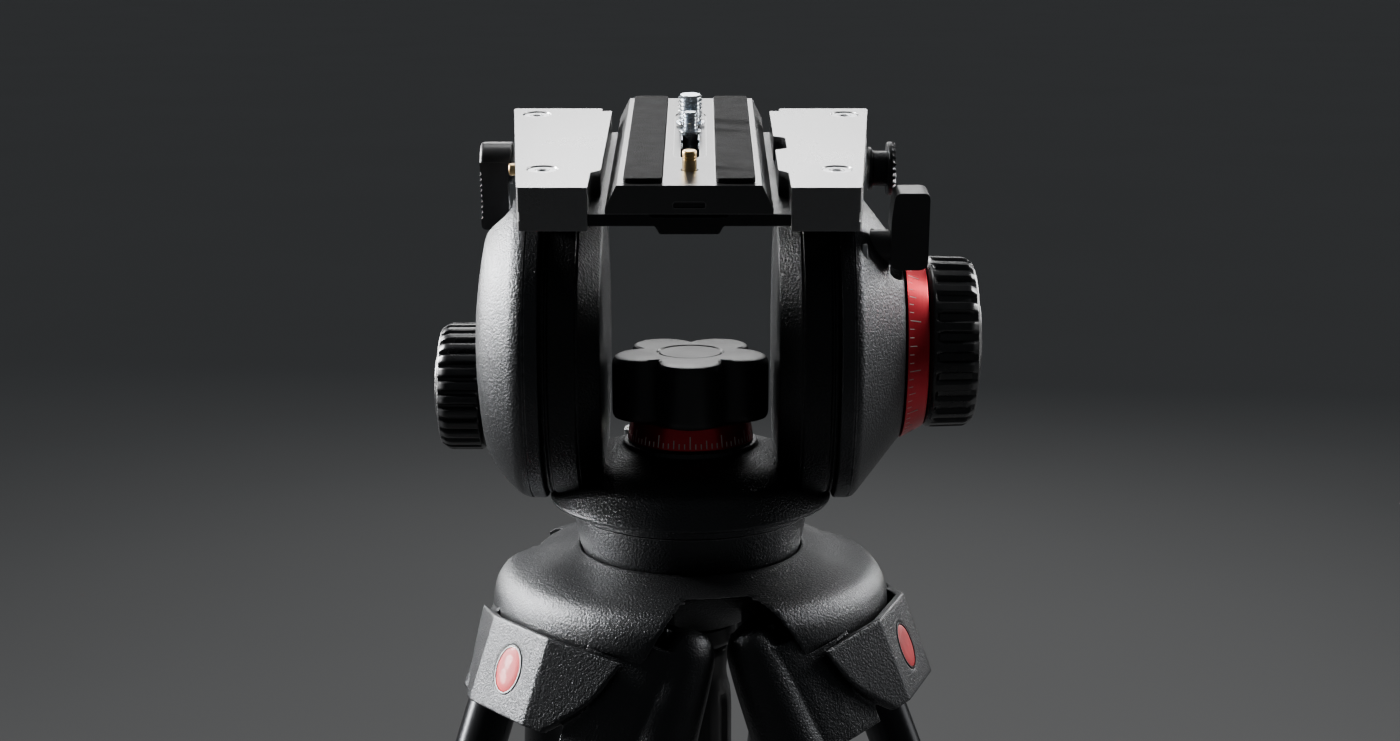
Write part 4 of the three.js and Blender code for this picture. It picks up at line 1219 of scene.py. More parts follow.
@dataclass
class Housings:
    """The two side housings with their rings and knobs."""

    inner: float = 54.5
    rim: float = 60
    width: float = 7
    pad: float = 24
    pad_top: float = 61.7
    left_profile: tuple[Point, ...] = ((58.6, 64.5), (54, 69.4), (49, 73.5), (43, 77), (32, 79), (22, 80.4))
    counter_z: float = -18.3
    counter_radius: float = 24.5
    counter: Point = (79.2, 98)
    cone_radius: float = 37
    cone_outer: float = 79.5
    ring_width: float = 9
    ring_small: float = 32.5
    knob_radius: float = 33
    knob_width: float = 21
    gap: float = 0.4
    axle: float = 14
    lock_y: float = -20
    lock_z: float = 43
    lock_face: float = 73.6
    lock_recess: float = 12
    scoop: tuple[float, float, float, float] = (66, 27, 9, 68)

    def pad_block(self, platform: Platform) -> Solid:
        """The pad on a rim that carries the platform's block."""
        outer = platform.side_at(-self.pad) - 0.5
        return Solid.box((outer - self.inner, 2 * self.pad, self.pad_top - self.rim + 8),
                         ((outer + self.inner) / 2, 0, (self.pad_top + self.rim - 8) / 2))

    def socket(self) -> Solid:
        """The blind socket for the axle."""
        return Solid.lathe([(0, self.inner - 1), (self.axle + 0.3, self.inner - 1),
                            (self.axle + 0.3, self.inner + self.width + 2),
                            (0, self.inner + self.width + 2)], 64).moved(across())

    def rim_groove(self) -> Solid:
        """The thin seam round the rim."""
        x = self.inner + self.width - 2.2
        return Solid.lathe([(self.rim - 0.7, x), (self.rim + 2, x), (self.rim + 2, x + 0.7),
                            (self.rim - 0.7, x + 0.7)],
                           128).moved(across())

    def left(self, platform: Platform) -> Solid:
        """The domed housing, built at +X and mirrored.

        Args:
            platform: the platform between the housings.

        Returns:
            The solid.
        """
        start = self.inner
        tail = [(r, x, 7) for r, x in self.left_profile]
        profile = [(0, start), (self.rim, start, 0.8), (self.rim, start + self.width - 0.5, 1.2), *tail[:-1],
                   (*self.left_profile[-1], 2), (0, self.left_profile[-1][1])]
        dome = Solid.lathe(profile, 160, 5).moved(across())
        x, radius, y, z = self.scoop
        scoop = Solid.lathe([(0, x), (radius - 3, x), (radius, x + 3), (radius, 99), (0, 99)], 96)
        scoop.moved(shift(0, y, z), across())
        well = Solid.lathe([(0, self.counter[0] - self.gap),
                            (self.counter_radius + self.gap, self.counter[0] - self.gap),
                            (self.counter_radius + self.gap, 99), (0, 99)],
                            96).moved(shift(0, 0, self.counter_z), across())
        bore = Solid.lathe([(0, self.counter[0] - 8), (6.4, self.counter[0] - 8), (6.4, 99), (0, 99)], 40)
        bore.moved(shift(0, 0, self.counter_z), across())
        whole = dome.join(self.pad_block(platform))
        return whole.cut(scoop, well, bore, self.socket(), self.rim_groove()).moved(mirrored())

    def right(self, platform: Platform) -> Solid:
        """The conical housing that carries the drag ring.

        Args:
            platform: the platform between the housings.

        Returns:
            The solid.
        """
        outer = self.inner + self.width
        profile = [(0, self.inner), (self.rim, self.inner, 0.8), (self.rim, outer, 2.5),
                   (self.cone_radius, self.cone_outer, 0.6),
                   (0, self.cone_outer)]
        cone = Solid.lathe(profile, 160, 5).moved(across())
        recess = Solid.lathe([(0, self.lock_face - self.gap),
                              (self.lock_recess - 1.5, self.lock_face - self.gap),
                              (self.lock_recess, self.lock_face + 1.2), (self.lock_recess + 1.5, 99),
                              (0, 99)], 96)
        recess.moved(shift(0, self.lock_y, self.lock_z), across())
        bore = Solid.lathe([(0, 65.6), (6.9, 65.6), (6.9, 99), (0, 99)], 48)
        bore.moved(shift(0, self.lock_y, self.lock_z), across())
        centre = Solid.lathe([(0, self.cone_outer - 8), (10.4, self.cone_outer - 8), (10.4, 99), (0, 99)],
                             64).moved(across())
        whole = cone.join(self.pad_block(platform))
        return whole.cut(recess, bore, centre, self.socket(), self.rim_groove())

    def ring(self) -> Solid:
        """The red drag ring.

        Returns:
            The solid.
        """
        x = self.cone_outer + self.gap
        end = x + self.ring_width
        profile = [(10.4, x), (self.cone_radius - 0.9, x), (self.cone_radius, x + 0.5, 0.2),
                   (self.ring_small + 0.1, end - 0.3, 0.3),
                   (self.ring_small - 1, end), (10.4, end)]
        return Solid.lathe(profile, 160).moved(across())

    def marks(self) -> Solid:
        """White graduations let into the red ring, with no numbers: a long one at every sixth mark.

        Returns:
            The solid.
        """
        x = self.cone_outer + self.gap
        slope = (self.cone_radius - self.ring_small) / self.ring_width
        made = []
        for k in range(72):
            long = 4.6 if k % 6 == 0 else (3.0 if k % 3 == 0 else 1.8)
            start = 0.9
            r = self.cone_radius - slope * (start + long / 2)
            tick = Solid.box((0.42, 0.26, long), (0, 0, 0))
            tick.moved(turn("X", k * 5), shift(x + start + long / 2, 0, r),
                       turn("Y", 90 + math.degrees(math.atan(slope))))
            made.append(tick)
        return made[0].beside(*made[1:])

    def knob(self) -> Solid:
        """The tilt drag knob, with its spindle.

        Returns:
            The solid.
        """
        start = self.cone_outer + self.gap + self.ring_width + 0.3
        end = start + self.knob_width - 2.3
        r = self.knob_radius
        base = [(0, start - self.ring_width - 7), (10, start - self.ring_width - 7), (10, start),
                (r - 1.2, start, 0.3),
                (r, start + 1.4, 0.8), (r - 0.4, end - 3.2, 1.2), (r - 2.8, end, 1.4),
                (r - 5, end + 0.2, 0.6),
                (r - 6, end - 1.1, 0.6), (r - 12, end - 1.1, 0.6), (r - 13.5, end + 1.9, 0.8), (0, end + 2.0)]
        return ribbed(base, 26, 1.7, (start + 2.2, end - 1.6), 0.1).moved(across())

    def counter_knob(self) -> Solid:
        """The counterbalance knob, built at -X.

        Returns:
            The solid.
        """
        low, high = self.counter
        r = self.counter_radius
        base = [(0, low - 7), (6, low - 7), (6, low), (r - 1, low, 0.3), (r, low + 1, 0.5),
                (r, high - 5, 1.5),
                (r - 2.2, high - 2, 1.5), (r - 4, high - 2, 0.5), (r - 5, high - 2.8, 0.5),
                (r - 10, high - 2.8, 0.5),
                (r - 11.5, high - 0.2, 0.8), (0, high)]
        return ribbed(base, 28, 1.9, (low + 1, high - 3.4), 0.24).moved(shift(0, 0, self.counter_z),
                                                                        across(-1))

    def lock_lever(self) -> Solid:
        """The tilt lock: a boss and a flat paddle standing up from it.

        Returns:
            The solid.
        """
        y, z, face = self.lock_y, self.lock_z, self.lock_face
        boss = Solid.lathe([(0, 66), (6.5, 66), (6.5, face + 4), (0, face + 4)], 48).moved(shift(0, y, z),
                                                                                           across())
        x0, x1 = face, 87.5
        outline = [(x0, z - 7, 4), (x1, z - 7, 3.5), (x1 + 0.0, z + 22, 2.6), (x0 + 1.2, z + 22, 2.6),
                   (x0, z + 12, 3)]
        paddle = Solid.prism(outline, y - 6.5, y + 6.5, 6)
        turned = paddle.moved(Matrix(((1, 0, 0, 0), (0, 0, 1, 0), (0, 1, 0, 0), (0, 0, 0, 1))))
        return boss.join(turned)

    def build(self, bench: Bench, platform: Platform) -> None:
        """Makes everything beside the arms.

        Args:
            bench: where its pieces are made.
            platform: the platform between the housings.
        """
        bench.add("housing_left", self.left(platform), Finish.CAST, ["side_housing_left"], Edge(0.35, 2, 40))
        bench.add("housing_right", self.right(platform), Finish.CAST, ["side_housing_right"],
                  Edge(0.35, 2, 40))
        bench.add("drag_ring_tilt", self.ring(), Finish.RED, ["tilt_drag_ring"], Edge(0), "tilt_drag")
        bench.add("drag_ring_tilt_marks", self.marks(), Finish.TICK, (), Edge(0), "tilt_drag")
        bench.add("drag_knob_tilt", self.knob(), Finish.KNOB, ["tilt_drag_knob"], Edge(0), "tilt_drag")
        bench.add("counterbalance", self.counter_knob(), Finish.KNOB, ["counterbalance_knob"], Edge(0),
                  "counterbalance")
        bench.add("tilt_lock", self.lock_lever(), Finish.LEVER, ["tilt_lock_lever"], Edge(0.9, 4),
                  "tilt_lock")
        y, z = -33.5, 47.6
        bolt = Solid.lathe([(0, -2), (2.6, -2), (2.6, 1.2), (3.3, 1.2, 0.2), (3.3, 3.2, 0.4), (1.6, 3.2),
                            (1.6, 1.8), (0, 1.8)], 40)
        bench.add("stop_bolt", bolt.moved(shift(self.inner + self.width - 0.3, y, z - 3), across()),
                  Finish.STEEL, edge=Edge(0))
        for side, name in ((-1, "left"), (1, "right")):
            rod = Solid.lathe([(0, 36.5), (self.axle, 36.5, 0.6),
                               (self.axle, self.inner + self.width + 1.6, 0.6),
                               (0, self.inner + self.width + 1.6)], 64).moved(across(side))
            bench.add(f"axle_{name}", rod, Finish.STEEL, [f"tilt_axle_{name}"], Edge(0))


@dataclass
class PanHead:
    """The yoke, the pan housing under it, and what stands on that."""

    window: float = 32.5
    outer: float = 53.5
    radius: float = 58.3
    chamfer: float = 8.5
    axle: float = 14.4
    base: float = -66
    base_radius: float = 46
    rim: float = -60.4
    rim_radius: float = 54.7
    boss_top: float = -38.4
    boss_radius: float = 26
    ring_radius: float = 24.4
    ring_height: float = 9
    star_radius: float = 31
    star_waist: float = 20.5
    star: Point = (-28.6, -4)
    lobes: int = 5
    lock: tuple[float, float] = (42.7, -52.5)
    level: tuple[float, float, float] = (-20, 31, 7)

    def arm(self) -> Solid:
        """An arm of the yoke at +X: a thick disc with a broad chamfer to the window.

        Returns:
            The solid.
        """
        w, r, c = self.window, self.radius, self.chamfer
        profile = [(0, w), (r - c - 3.6, w, 0.4), (r - c - 3.2, w + 0.5, 0.2), (r - c - 2.2, w + 0.5, 0.2),
                   (r - c - 1.8, w, 0.3),
                   (r - c, w, 0.9), (r - 0.9, w + c - 0.6, 0.4), (r - 0.9, w + c, 0.2), (r, w + c + 0.5, 0.6),
                   (r, self.outer - 2.6, 0.4), (r - 0.8, self.outer - 2.0, 0.2),
                   (r - 0.8, self.outer - 1.4, 0.2),
                   (r, self.outer - 0.8, 0.3), (r - 0.4, self.outer), (0, self.outer)]
        body = Solid.lathe(profile, 180, 4).moved(across())
        socket = Solid.lathe([(0, w + 3.6), (self.axle, w + 3.6), (self.axle, 99), (0, 99)],
                             64).moved(across())
        return body.cut(socket)

    def housing(self) -> Solid:
        """The pan housing, with its trunnion bore, lock hole and the level's well.

        Returns:
            The solid.
        """
        profile = [(0, self.base), (self.base_radius, self.base, 0.6),
                   (self.base_radius, self.rim - 2.6, 1.0),
                   (self.rim_radius - 0.6, self.rim - 0.9, 0.8), (self.rim_radius, self.rim + 0.2, 0.8),
                   (48, -50, 2.2),
                   (40, -44.5, 3.2), (self.boss_radius + 2, -41.0, 2), (self.boss_radius, -40.2, 0.8),
                   (self.boss_radius, self.boss_top, 0.7), (0, self.boss_top)]
        body = Solid.lathe(profile, 180, 6)
        y, z = self.lock
        trunnion = Solid.lathe([(0, -67), (15.4, -67), (15.4, -52), (0, -52)], 64)
        spindle = Solid.lathe([(0, -46.4), (6.4, -46.4), (6.4, 0), (0, 0)], 40)
        hole = Solid.lathe([(0, -0.4), (5.9, -0.4), (5.9, 99), (0, 99)], 48).moved(shift(0, y, z),
                                                                                   turn("X", -90))
        lx, ly, r = self.level
        well = Solid.lathe([(0, -53.3), (r + 0.3, -53.3), (r + 0.3, 0), (0, 0)], 48).moved(shift(lx, ly))
        return body.cut(trunnion, spindle, hole, well)

    def star_knob(self) -> Solid:
        """The five-lobed pan drag knob with its inset cap.

        Returns:
            The solid.
        """
        low, high = self.star
        steps = 34
        count = self.lobes * steps

        def outline(shrink: float) -> Callable[[float], float]:
            """The knob's outline, drawn in by some millimetres."""
            def radius(angle: float) -> float:
                """Its radius at an angle.

                Args:
                    angle: the angle about the axis.

                Returns:
                    The radius.
                """
                wave = (1 + math.cos((angle + math.pi / 2) * self.lobes)) / 2
                lobe = wave ** 0.42
                return self.star_waist + (self.star_radius - self.star_waist) * lobe - shrink
            return radius

        levels = [(24, low), (2.2, low), (0.8, low + 0.6), (0.2, low + 1.8), (0, low + 3.2), (0, high - 3.6),
                  (0.3, high - 1.9),
                  (1.1, high - 0.6), (2.6, high)]
        rings = [shaped(outline(d), z, count) for d, z in levels[1:]]
        cap = 12.2
        for r, z in ((cap + 0.9, high + 0.0), (cap + 0.4, high - 0.9), (cap, high - 0.9),
                     (cap - 0.5, high - 0.2), (0, high - 0.1)):
            rings.append(circle(r, z, count))
        spindle = Solid.lathe([(0, self.boss_top - 7), (6, self.boss_top - 7), (6, low + 1), (0, low + 1)],
                              48)
        return Solid.loft(rings).join(spindle)

    def ring(self) -> Solid:
        """The red pan drag ring.

        Returns:
            The solid.
        """
        low = self.boss_top + 0.3
        high = low + self.ring_height
        r = self.ring_radius
        return Solid.lathe([(6.4, low), (r - 0.5, low), (r, low + 0.5, 0.2), (r - 1.3, high - 0.4, 0.2),
                            (r - 1.8, high), (6.4, high)], 160)

    def ring_marks(self) -> Solid:
        """White graduations let into the pan ring.

        Returns:
            The solid.
        """
        low = self.boss_top + 0.3
        made = []
        for k in range(72):
            long = 4.8 if k % 6 == 0 else (3.2 if k % 3 == 0 else 2.0)
            z = low + 1.1 + long / 2
            r = self.ring_radius - 1.4 * (z - low) / self.ring_height
            made.append(Solid.box((0.26, 0.4, long), (0, 0, 0)).moved(turn("Z", k * 5), shift(r, 0, z),
                                                                      turn("Y", -8.6)))
        return made[0].beside(*made[1:])

    def build(self, bench: Bench) -> None:
        """Makes the pan head.

        Args:
            bench: where its pieces are made.
        """
        right = self.arm()
        left = right.copy().moved(mirrored())
        bench.add("yoke_arm_right", right, Finish.YOKE, ["yoke"], Edge(0))
        bench.add("yoke_arm_left", left, Finish.YOKE, edge=Edge(0))
        bench.add("pan_body", self.housing(), Finish.CAST, edge=Edge(0.2, 2, 45))
        bench.add("drag_knob_pan", self.star_knob(), Finish.LEVER, ["pan_drag_knob"], Edge(0), "pan_drag")
        bench.add("drag_ring_pan", self.ring(), Finish.RED_FLAT, ["pan_drag_ring"], Edge(0), "pan_drag")
        bench.add("drag_ring_pan_marks", self.ring_marks(), Finish.TICK, (), Edge(0), "pan_drag")
        lx, ly, r = self.level
        cup = Solid.lathe([(0, -53), (r, -53), (r, -41.5, 0.5), (r - 1.2, -41.5, 0.3), (r - 1.2, -42.6),
                           (0, -42.6)], 64)
        bench.add("level_cup", cup.moved(shift(lx, ly)), Finish.STEEL, ["bubble_level"], Edge(0))
        vial = Solid.lathe([(0, -42.8), (r - 1.3, -42.8), (r - 1.4, -42.0, 0.4), (r * 0.5, -41.7, 2),
                            (0, -41.6)], 48)
        bench.add("level_vial", vial.moved(shift(lx, ly)), Finish.VIAL, edge=Edge(0))
        mark = Solid.lathe([(2.2, -41.72), (2.6, -41.72), (2.6, -41.5), (2.2, -41.5)], 40)
        bench.add("level_mark", mark.moved(shift(lx, ly)), Finish.RIM, edge=Edge(0))
        y, z = self.lock
        stem = Solid.lathe([(0, 0), (5.5, 0), (5.5, 14, 0.5), (4.2, 15.5), (0, 15.5)],
                           48).moved(shift(0, y, z), turn("X", -90))
        leaf = Solid.prism([(-6.5, -15, 4), (6.5, -15, 4), (6.2, 6.5, 3), (-6.2, 6.5, 3)], -(y + 19.5),
                           -(y + 14.5), 5)
        bench.add("pan_lock_lever_piece", stem.join(leaf.moved(shift(0, 0, z), turn("X", 90))), Finish.LEVER,
                  ["pan_lock_lever"], Edge(0.8, 3), "pan_lock")


# ---- bowl and crown ----

@dataclass
class Bowl:
    """The levelling ball, its clamp dish and the handle under it."""

    centre: float = -66
    radius: float = 45
    bottom: float = -107
    trunnion: float = 15
    stud: float = 5
    stud_bottom: float = -148
    dish_radius: float = 17.5
    dish_bottom: float = -120.6
    seat: float = 49.4
    handle: tuple[float, float, float, float] = (15, 16.5, -120.9, 78)

    def ball(self) -> Solid:
        """The half ball with its trunnion and stud.

        Returns:
            The solid.
        """
        arc = []
        for k in range(25):
            a = math.radians(-65.7 + 65.1 * k / 24)
            arc.append((self.radius * math.cos(a), self.centre + self.radius * math.sin(a)))
        profile = [(0, self.stud_bottom), (self.stud, self.stud_bottom, 0.8), (self.stud, self.bottom, 0.4),
                   *arc, (self.trunnion, self.centre - 0.4), (self.trunnion, self.centre + 13, 0.6),
                   (0, self.centre + 13)]
        return Solid.lathe(profile, 160)

    def dish(self) -> Solid:
        """The dish that pulls up under the bowl.

        Returns:
            The solid.
        """
        def height(r: float) -> float:
            """The seat's height at a radius."""
            return self.centre - math.sqrt(self.seat ** 2 - r * r)
        r = self.dish_radius
        top = [(r, height(r), 0.5), (r * 0.75, height(r * 0.75)), (8.4, height(8.4)), (5.4, height(5.4))]
        return Solid.lathe([(5.4, self.dish_bottom), (r - 2, self.dish_bottom, 0.6),
                            (r, self.dish_bottom + 2, 0.6), *top], 96)

    def grip(self) -> Solid:
        """The screw-down handle: a waisted grip with long flutes.

        Returns:
            The solid.
        """
        r0, r1, top, length = self.handle
        low = top - length
        base = [(0, low), (r1 - 5, low, 1.5), (r1 - 0.5, low + 4, 3), (r1, low + 12, 4), (r1, top - 22, 5),
                (r0 - 1, top - 13, 3), (r0, top - 3, 1.5), (r0 - 1, top, 0.8), (6, top), (6, top - 1.5),
                (0, top - 1.5)]
        return ribbed(base, 10, 1.8, (low + 8, top - 20), 0.24, 16)

    def build(self, ball: Bench) -> None:
        """Makes the three pieces.

        Args:
            ball: where its pieces are made.
        """
        ball.add("levelling_half_ball", self.ball(), Finish.CAST, ["half_ball"], Edge(0))
        ball.add("bowl_clamp_dish", self.dish(), Finish.LEVER, ["clamp_dish"], Edge(0))
        ball.add("bowl_clamp_grip", self.grip(), Finish.LEVER, ["clamp_handle"], Edge(0), "bowl_clamp")


@dataclass
class Crown:
    """The shell that carries the bowl, with lugs for three legs and an arch between each pair."""

    azimuths: tuple[float, ...]
    top: float = -80
    neck: float = 43
    radius: float = 77.5
    bottom: float = -118
    wall: float = 3.6
    deck: float = 8
    ball: tuple[float, float, float] = (-66, 45.6, 49)
    drain: float = 14
    arch_half: float = 33
    arch_top: float = -84.5
    lug: Point = (21, 27)
    pivot: tuple[float, float, float] = (44, -105, 4.3)
    room_end: float = 66.6
    room_swing: float = 14.25
    spread: float = 22
    voxel: float = 0.85

    def towards(self, steps: float) -> Matrix:
        """A turn from the front to a leg's azimuth, or part of a step further."""
        return turn("Z", self.azimuths[0] + 120 * steps)

    def arch(self) -> Solid:
        """The tunnel between two legs, along -Y.

        Returns:
            The solid.
        """
        half, low = self.arch_half, self.bottom - 3
        outline = [(-half - 2.5, low), (-half - 1, low + 8, 6), (-half * 0.82, self.arch_top - 14, 9),
                   (-half * 0.5, self.arch_top, 13),
                   (half * 0.5, self.arch_top, 13), (half * 0.82, self.arch_top - 14, 9),
                   (half + 1, low + 8, 6), (half + 2.5, low)]
        return Solid.prism(outline, self.ball[2] + 3, self.ball[2] + 45, 8).moved(turn("X", 90))

    def room(self) -> Solid:
        """Space beside a lug for a leg's collar.

        Returns:
            The solid.
        """
        out, high, _ = self.pivot
        near, far, swing = self.lug[1] + 0.2, self.room_end, self.room_swing
        middle, wide = (near + far) / 2, far - near
        bar = Solid.lathe([(0, near), (swing, near), (swing, far), (0, far)], 64).moved(shift(0, -out, high),
                                                                                        across())
        band = Solid.box((wide, 78, 78), (middle, -39, -6.2 - 39)).moved(shift(0, -out, high),
                                                                         turn("X", -self.spread))
        low = Solid.box((wide, swing + 1, high - self.bottom + 3),
                        (middle, -out + (swing - 1) / 2, (high + self.bottom - 3) / 2))
        one = bar.join(band, low)
        return one.join(one.copy().moved(mirrored()))

    def shell(self) -> Solid:
        """The whole casting.

        Returns:
            The solid.
        """
        r, top = self.radius, self.top
        outside = [(0, self.bottom), (r - 0.6, self.bottom, 0.6), (r, self.bottom + 2, 1), (r, top - 20, 6),
                   (r - 1.5, top - 13.5, 7),
                   (r - 6, top - 7.6, 7), (r - 15, top - 4.4, 8), (self.neck + 9, top - 2.6, 8),
                   (self.neck + 2.6, top - 0.6, 2),
                   (self.neck + 1.2, top, 0.5), (0, top)]
        under = top - self.deck
        inside = r - self.wall
        centre, inner, outer = self.ball
        bowl_out = [(outer * math.sin(a),
                     centre - outer * math.cos(a))
                     for a in (math.radians(10 + 58 * k / 12) for k in range(13))]
        hollow = [(0, self.bottom - 1), (inside, self.bottom - 1), (inside, top - 22, 6),
                  (inside - 8, under, 4),
                  *reversed([p for p in bowl_out if p[1] < under]), (0, bowl_out[0][1])]
        bowl = [(0, centre - inner), *[(inner * math.sin(a), centre - inner * math.cos(a)) for a in
                                       (math.radians(90 * k / 30) for k in range(1, 31))], (0, centre)]
        whole = Solid.lathe(outside, 180, 6).cut(Solid.lathe(hollow, 120))
        lugs, cutters = [], []
        near, far = self.lug
        end = -math.sqrt((r - 1.4) ** 2 - far ** 2)
        out, high, bolt = self.pivot
        for leg in range(3):
            for side in (-1, 1):
                size = (far - near, -30 - end, under + 1 - self.bottom - 1)
                place = (side * (near + far) / 2, (end - 30) / 2, (under + 1 + self.bottom + 1) / 2)
                lug = Solid.box(size, place).moved(self.towards(leg))
                lugs.append(lug.meet(Solid.lathe(outside, 180, 6)))
            hole = Solid.lathe([(0, -29), (bolt, -29), (bolt, 29), (0, 29)], 40)
            cutters.append(hole.moved(self.towards(leg), shift(0, -out, high), across()))
            cutters.append(self.room().moved(self.towards(leg)))
            cutters.append(self.arch().moved(self.towards(leg + 0.5)))
        drain = Solid.lathe([(0, self.bottom - 1), (self.drain, self.bottom - 1), (self.drain, top + 5),
                             (0, top + 5)], 64)
        return whole.join(*lugs).cut(Solid.lathe(bowl, 160), drain, *cutters).cast(self.voxel, 4)

    def build(self, bench: Bench) -> None:
        """Makes the crown."""
        bench.add("crown_casting", self.shell(), Finish.CROWN, ["crown"], Edge(0), smooth=60)


# ---- legs and spreader ----

@dataclass
class Leg:
    """One leg: collar, twin tubes, clamp, lower tubes and foot. -Z runs down it and -Y points outward."""

    number: int
    half: float = 50
    tube: float = 10
    wall: float = 1.3
    collar_length: float = 42
    front: float = 38
    flat: float = 17
    shoulder: float = 20
    cheek: float = 27.6
    band: float = 3
    band_top: float = 7
    sleeve_foot: float = 13.6
    lug: float = 27
    upper: float = 540
    lower: float = 8.2
    lower_wall: float = 1.2
    lower_span: Point = (100, 643.7)
    clamp: Point = (514, 566)
    clamp_radius: float = 12.3
    lever: tuple[float, float, float, float] = (530, 15, 27, 44)
    foot: tuple[float, float, float] = (630, 644, 652)
    ball: Point = (670, 15)
    spreader: Point = (580, -14)
    fork: Point = (8.6, 12.6)
    swoop: tuple[tuple[float, float, float], ...] = ((30, -33, 6), (36.5, -25, 6), (41, -15, 6), (44, -6, 3))

    def sleeve(self) -> Solid:
        """The domed sleeve that takes a tube, narrowing to the top."""
        profile = [(0, -self.collar_length), (self.sleeve_foot, -self.collar_length, 0.8), (12.6, -26, 10),
                   (11.6, -8, 8),
                   (10.4, 3.4, 6), (7.6, 9, 5), (3.4, 11, 3), (0, 11)]
        return Solid.lathe(profile, 64, 6)

    def collar(self) -> Solid:
        """The casting that joins the two tubes: a band of three facets over a set-back web.

        Returns:
            The solid.
        """
        slope = (self.front - self.shoulder) / (self.half - self.flat)
        at_cheek = self.shoulder + (self.half - self.cheek) * slope
        depth = self.band * math.sqrt(1 + slope * slope)
        foot = -self.collar_length

        def upright(line: Sequence[Sequence[float]], low: float, high: float) -> Solid:
            """A plate that follows a line of (x, y[, rounding]) on both sides of the middle."""
            return Solid.prism([*line, *[(-x, *rest) for x, *rest in reversed(line)]], low, high)

        face = [(self.cheek, depth - at_cheek), (self.half + 1, -1), (self.half + 1, -self.shoulder),
                (self.flat, -self.front, 0.8)]
        band = upright([face[0], *face[2:]], foot + 2, -self.band_top)
        keep = [(22, -42), *self.swoop, (47, 0), (-47, 0),
                *[(-x, *rest) for x, *rest in reversed(self.swoop)], (-22, -42)]
        band = band.meet(Solid.prism(keep, -5, 60, 6).moved(turn("X", 90)))
        hollow = upright([(0, self.band - self.front), (self.flat - 1, self.band - self.front),
                          (self.cheek, depth - at_cheek),
                          (self.cheek, 20)], foot - 1, 30)
        web = upright([(60.5, -2, 3), (52, -13.2, 6), (40, -21.3), (self.flat + 6, -31)], foot, 2).cut(hollow)
        sleeves, cutters = [], []
        for side in (-1, 1):
            sleeves.append(self.sleeve().moved(shift(side * self.half)))
            sleeves.append(Solid.box((self.half - 4 - self.cheek, 19, 43),
                                     (side * (self.half - 4 + self.cheek) / 2, 0, -12.5)))
            x0, x1 = sorted((side * self.cheek, side * (self.half - 4)))
            sleeves.append(Solid.lathe([(0, x0), (9.8, x0), (9.8, x1), (0, x1)], 48).moved(across()))
            bore = Solid.lathe([(0, -90), (self.tube + 0.3, -90), (self.tube + 0.3, -13), (0, -13)], 64)
            cutters.append(bore.moved(shift(side * self.half)))
        cutters.append(Solid.lathe([(0, -34.3), (4.3, -34.3), (4.3, 34.3), (0, 34.3)], 40).moved(across()))
        squash = Matrix.Diagonal((0.8, 1, 1, 1))
        seat = Solid.lathe([(0, 0), (9.4, 0), (9.4, 9), (0, 9)], 64)
        cutters.append(seat.moved(shift(0, -self.front + 1.2, self.badge_height()), turn("X", 90), squash))
        return band.cut(hollow).join(web, *sleeves).cut(*cutters).cast(0.7, 3)

    def badge_height(self) -> float:
        """The height of the badge's middle on the collar's flat."""
        return -(self.band_top + self.collar_length - 2) / 2

    def badge(self) -> tuple[Solid, Solid]:
        """The plain oval badge on the flat, and its dark rim.

        Returns:
            The solids.
        """
        place = shift(0, -self.front + 1.3, self.badge_height()) @ turn("X",
                                                                        90) @ Matrix.Diagonal((0.8, 1, 1, 1))
        oval = Solid.lathe([(0, 0), (8.4, 0), (8.4, 1.1, 0.3), (6, 1.55, 3), (0, 1.7)], 96).moved(place)
        rim = Solid.lathe([(8.45, 0), (9.3, 0), (9.3, 1.4, 0.3), (8.45, 1.4, 0.3)], 96).moved(place)
        return oval, rim

    def pipe(self, outer: float, inner: float, low: float, high: float) -> Solid:
        """A tube with softened ends."""
        return Solid.lathe([(inner, low), (outer, low, 0.4), (outer, high, 0.4), (inner, high),
                            (inner, low + 0.01)], 64)

    def clamp_body(self) -> Solid:
        """The casting at the foot of the upper tubes, with ears for the lever and lugs for the spreader.

        Returns:
            The solid.
        """
        top, bottom = self.clamp
        parts = []
        for side in (-1, 1):
            sleeve = Solid.lathe([(0, -bottom), (self.clamp_radius - 0.8, -bottom, 1),
                                  (self.clamp_radius, -bottom + 5, 2),
                                  (self.clamp_radius, -top - 3, 1.5), (self.clamp_radius - 1, -top, 0.8),
                                  (0, -top)], 64)
            parts.append(sleeve.moved(shift(side * self.half)))
            near, far = self.fork
            lug = Solid.prism([(-3.5, -self.spreader[0] - 5.9, 5), (19.9, -self.spreader[0] - 5.9, 5.5),
                               (19.9, -self.spreader[0] + 6, 6),
                               (12, -546, 4), (-3.5, -546)], near, far, 6)
            lug.moved(Matrix(((0, 0, 1, 0), (1, 0, 0, 0), (0, 1, 0, 0), (0, 0, 0, 1))))
            parts.append(lug if side > 0 else lug.moved(mirrored()))
            pivot, stand, half, _ = self.lever
            ear = Solid.prism([(-stand - 4.8, -pivot - 6.5, 4.5), (-7, -pivot - 9, 1), (-7, -pivot + 7, 1),
                               (-stand - 4.8, -pivot + 6, 4.5)],
                              half + 0.3, half + 5, 6)
            ear.moved(Matrix(((0, 0, 1, 0), (1, 0, 0, 0), (0, 1, 0, 0), (0, 0, 0, 1))))
            parts.append(ear if side > 0 else ear.moved(mirrored()))
        web = Solid.prism([(-self.half, -560), (self.half, -560), (self.half, -522), (self.half - 9, -522, 4),
                           (30, -526, 8),
                           (-30, -526, 8), (-self.half + 9, -522, 4), (-self.half, -522)], -7, 8,
                           4).moved(turn("X", 90))
        window = Solid.prism([(-24, -556, 3), (24, -556, 3), (24, -548, 3), (-24, -548, 3)], 4.5,
                             20).moved(turn("X", 90))
        cutters = [window]
        for side in (-1, 1):
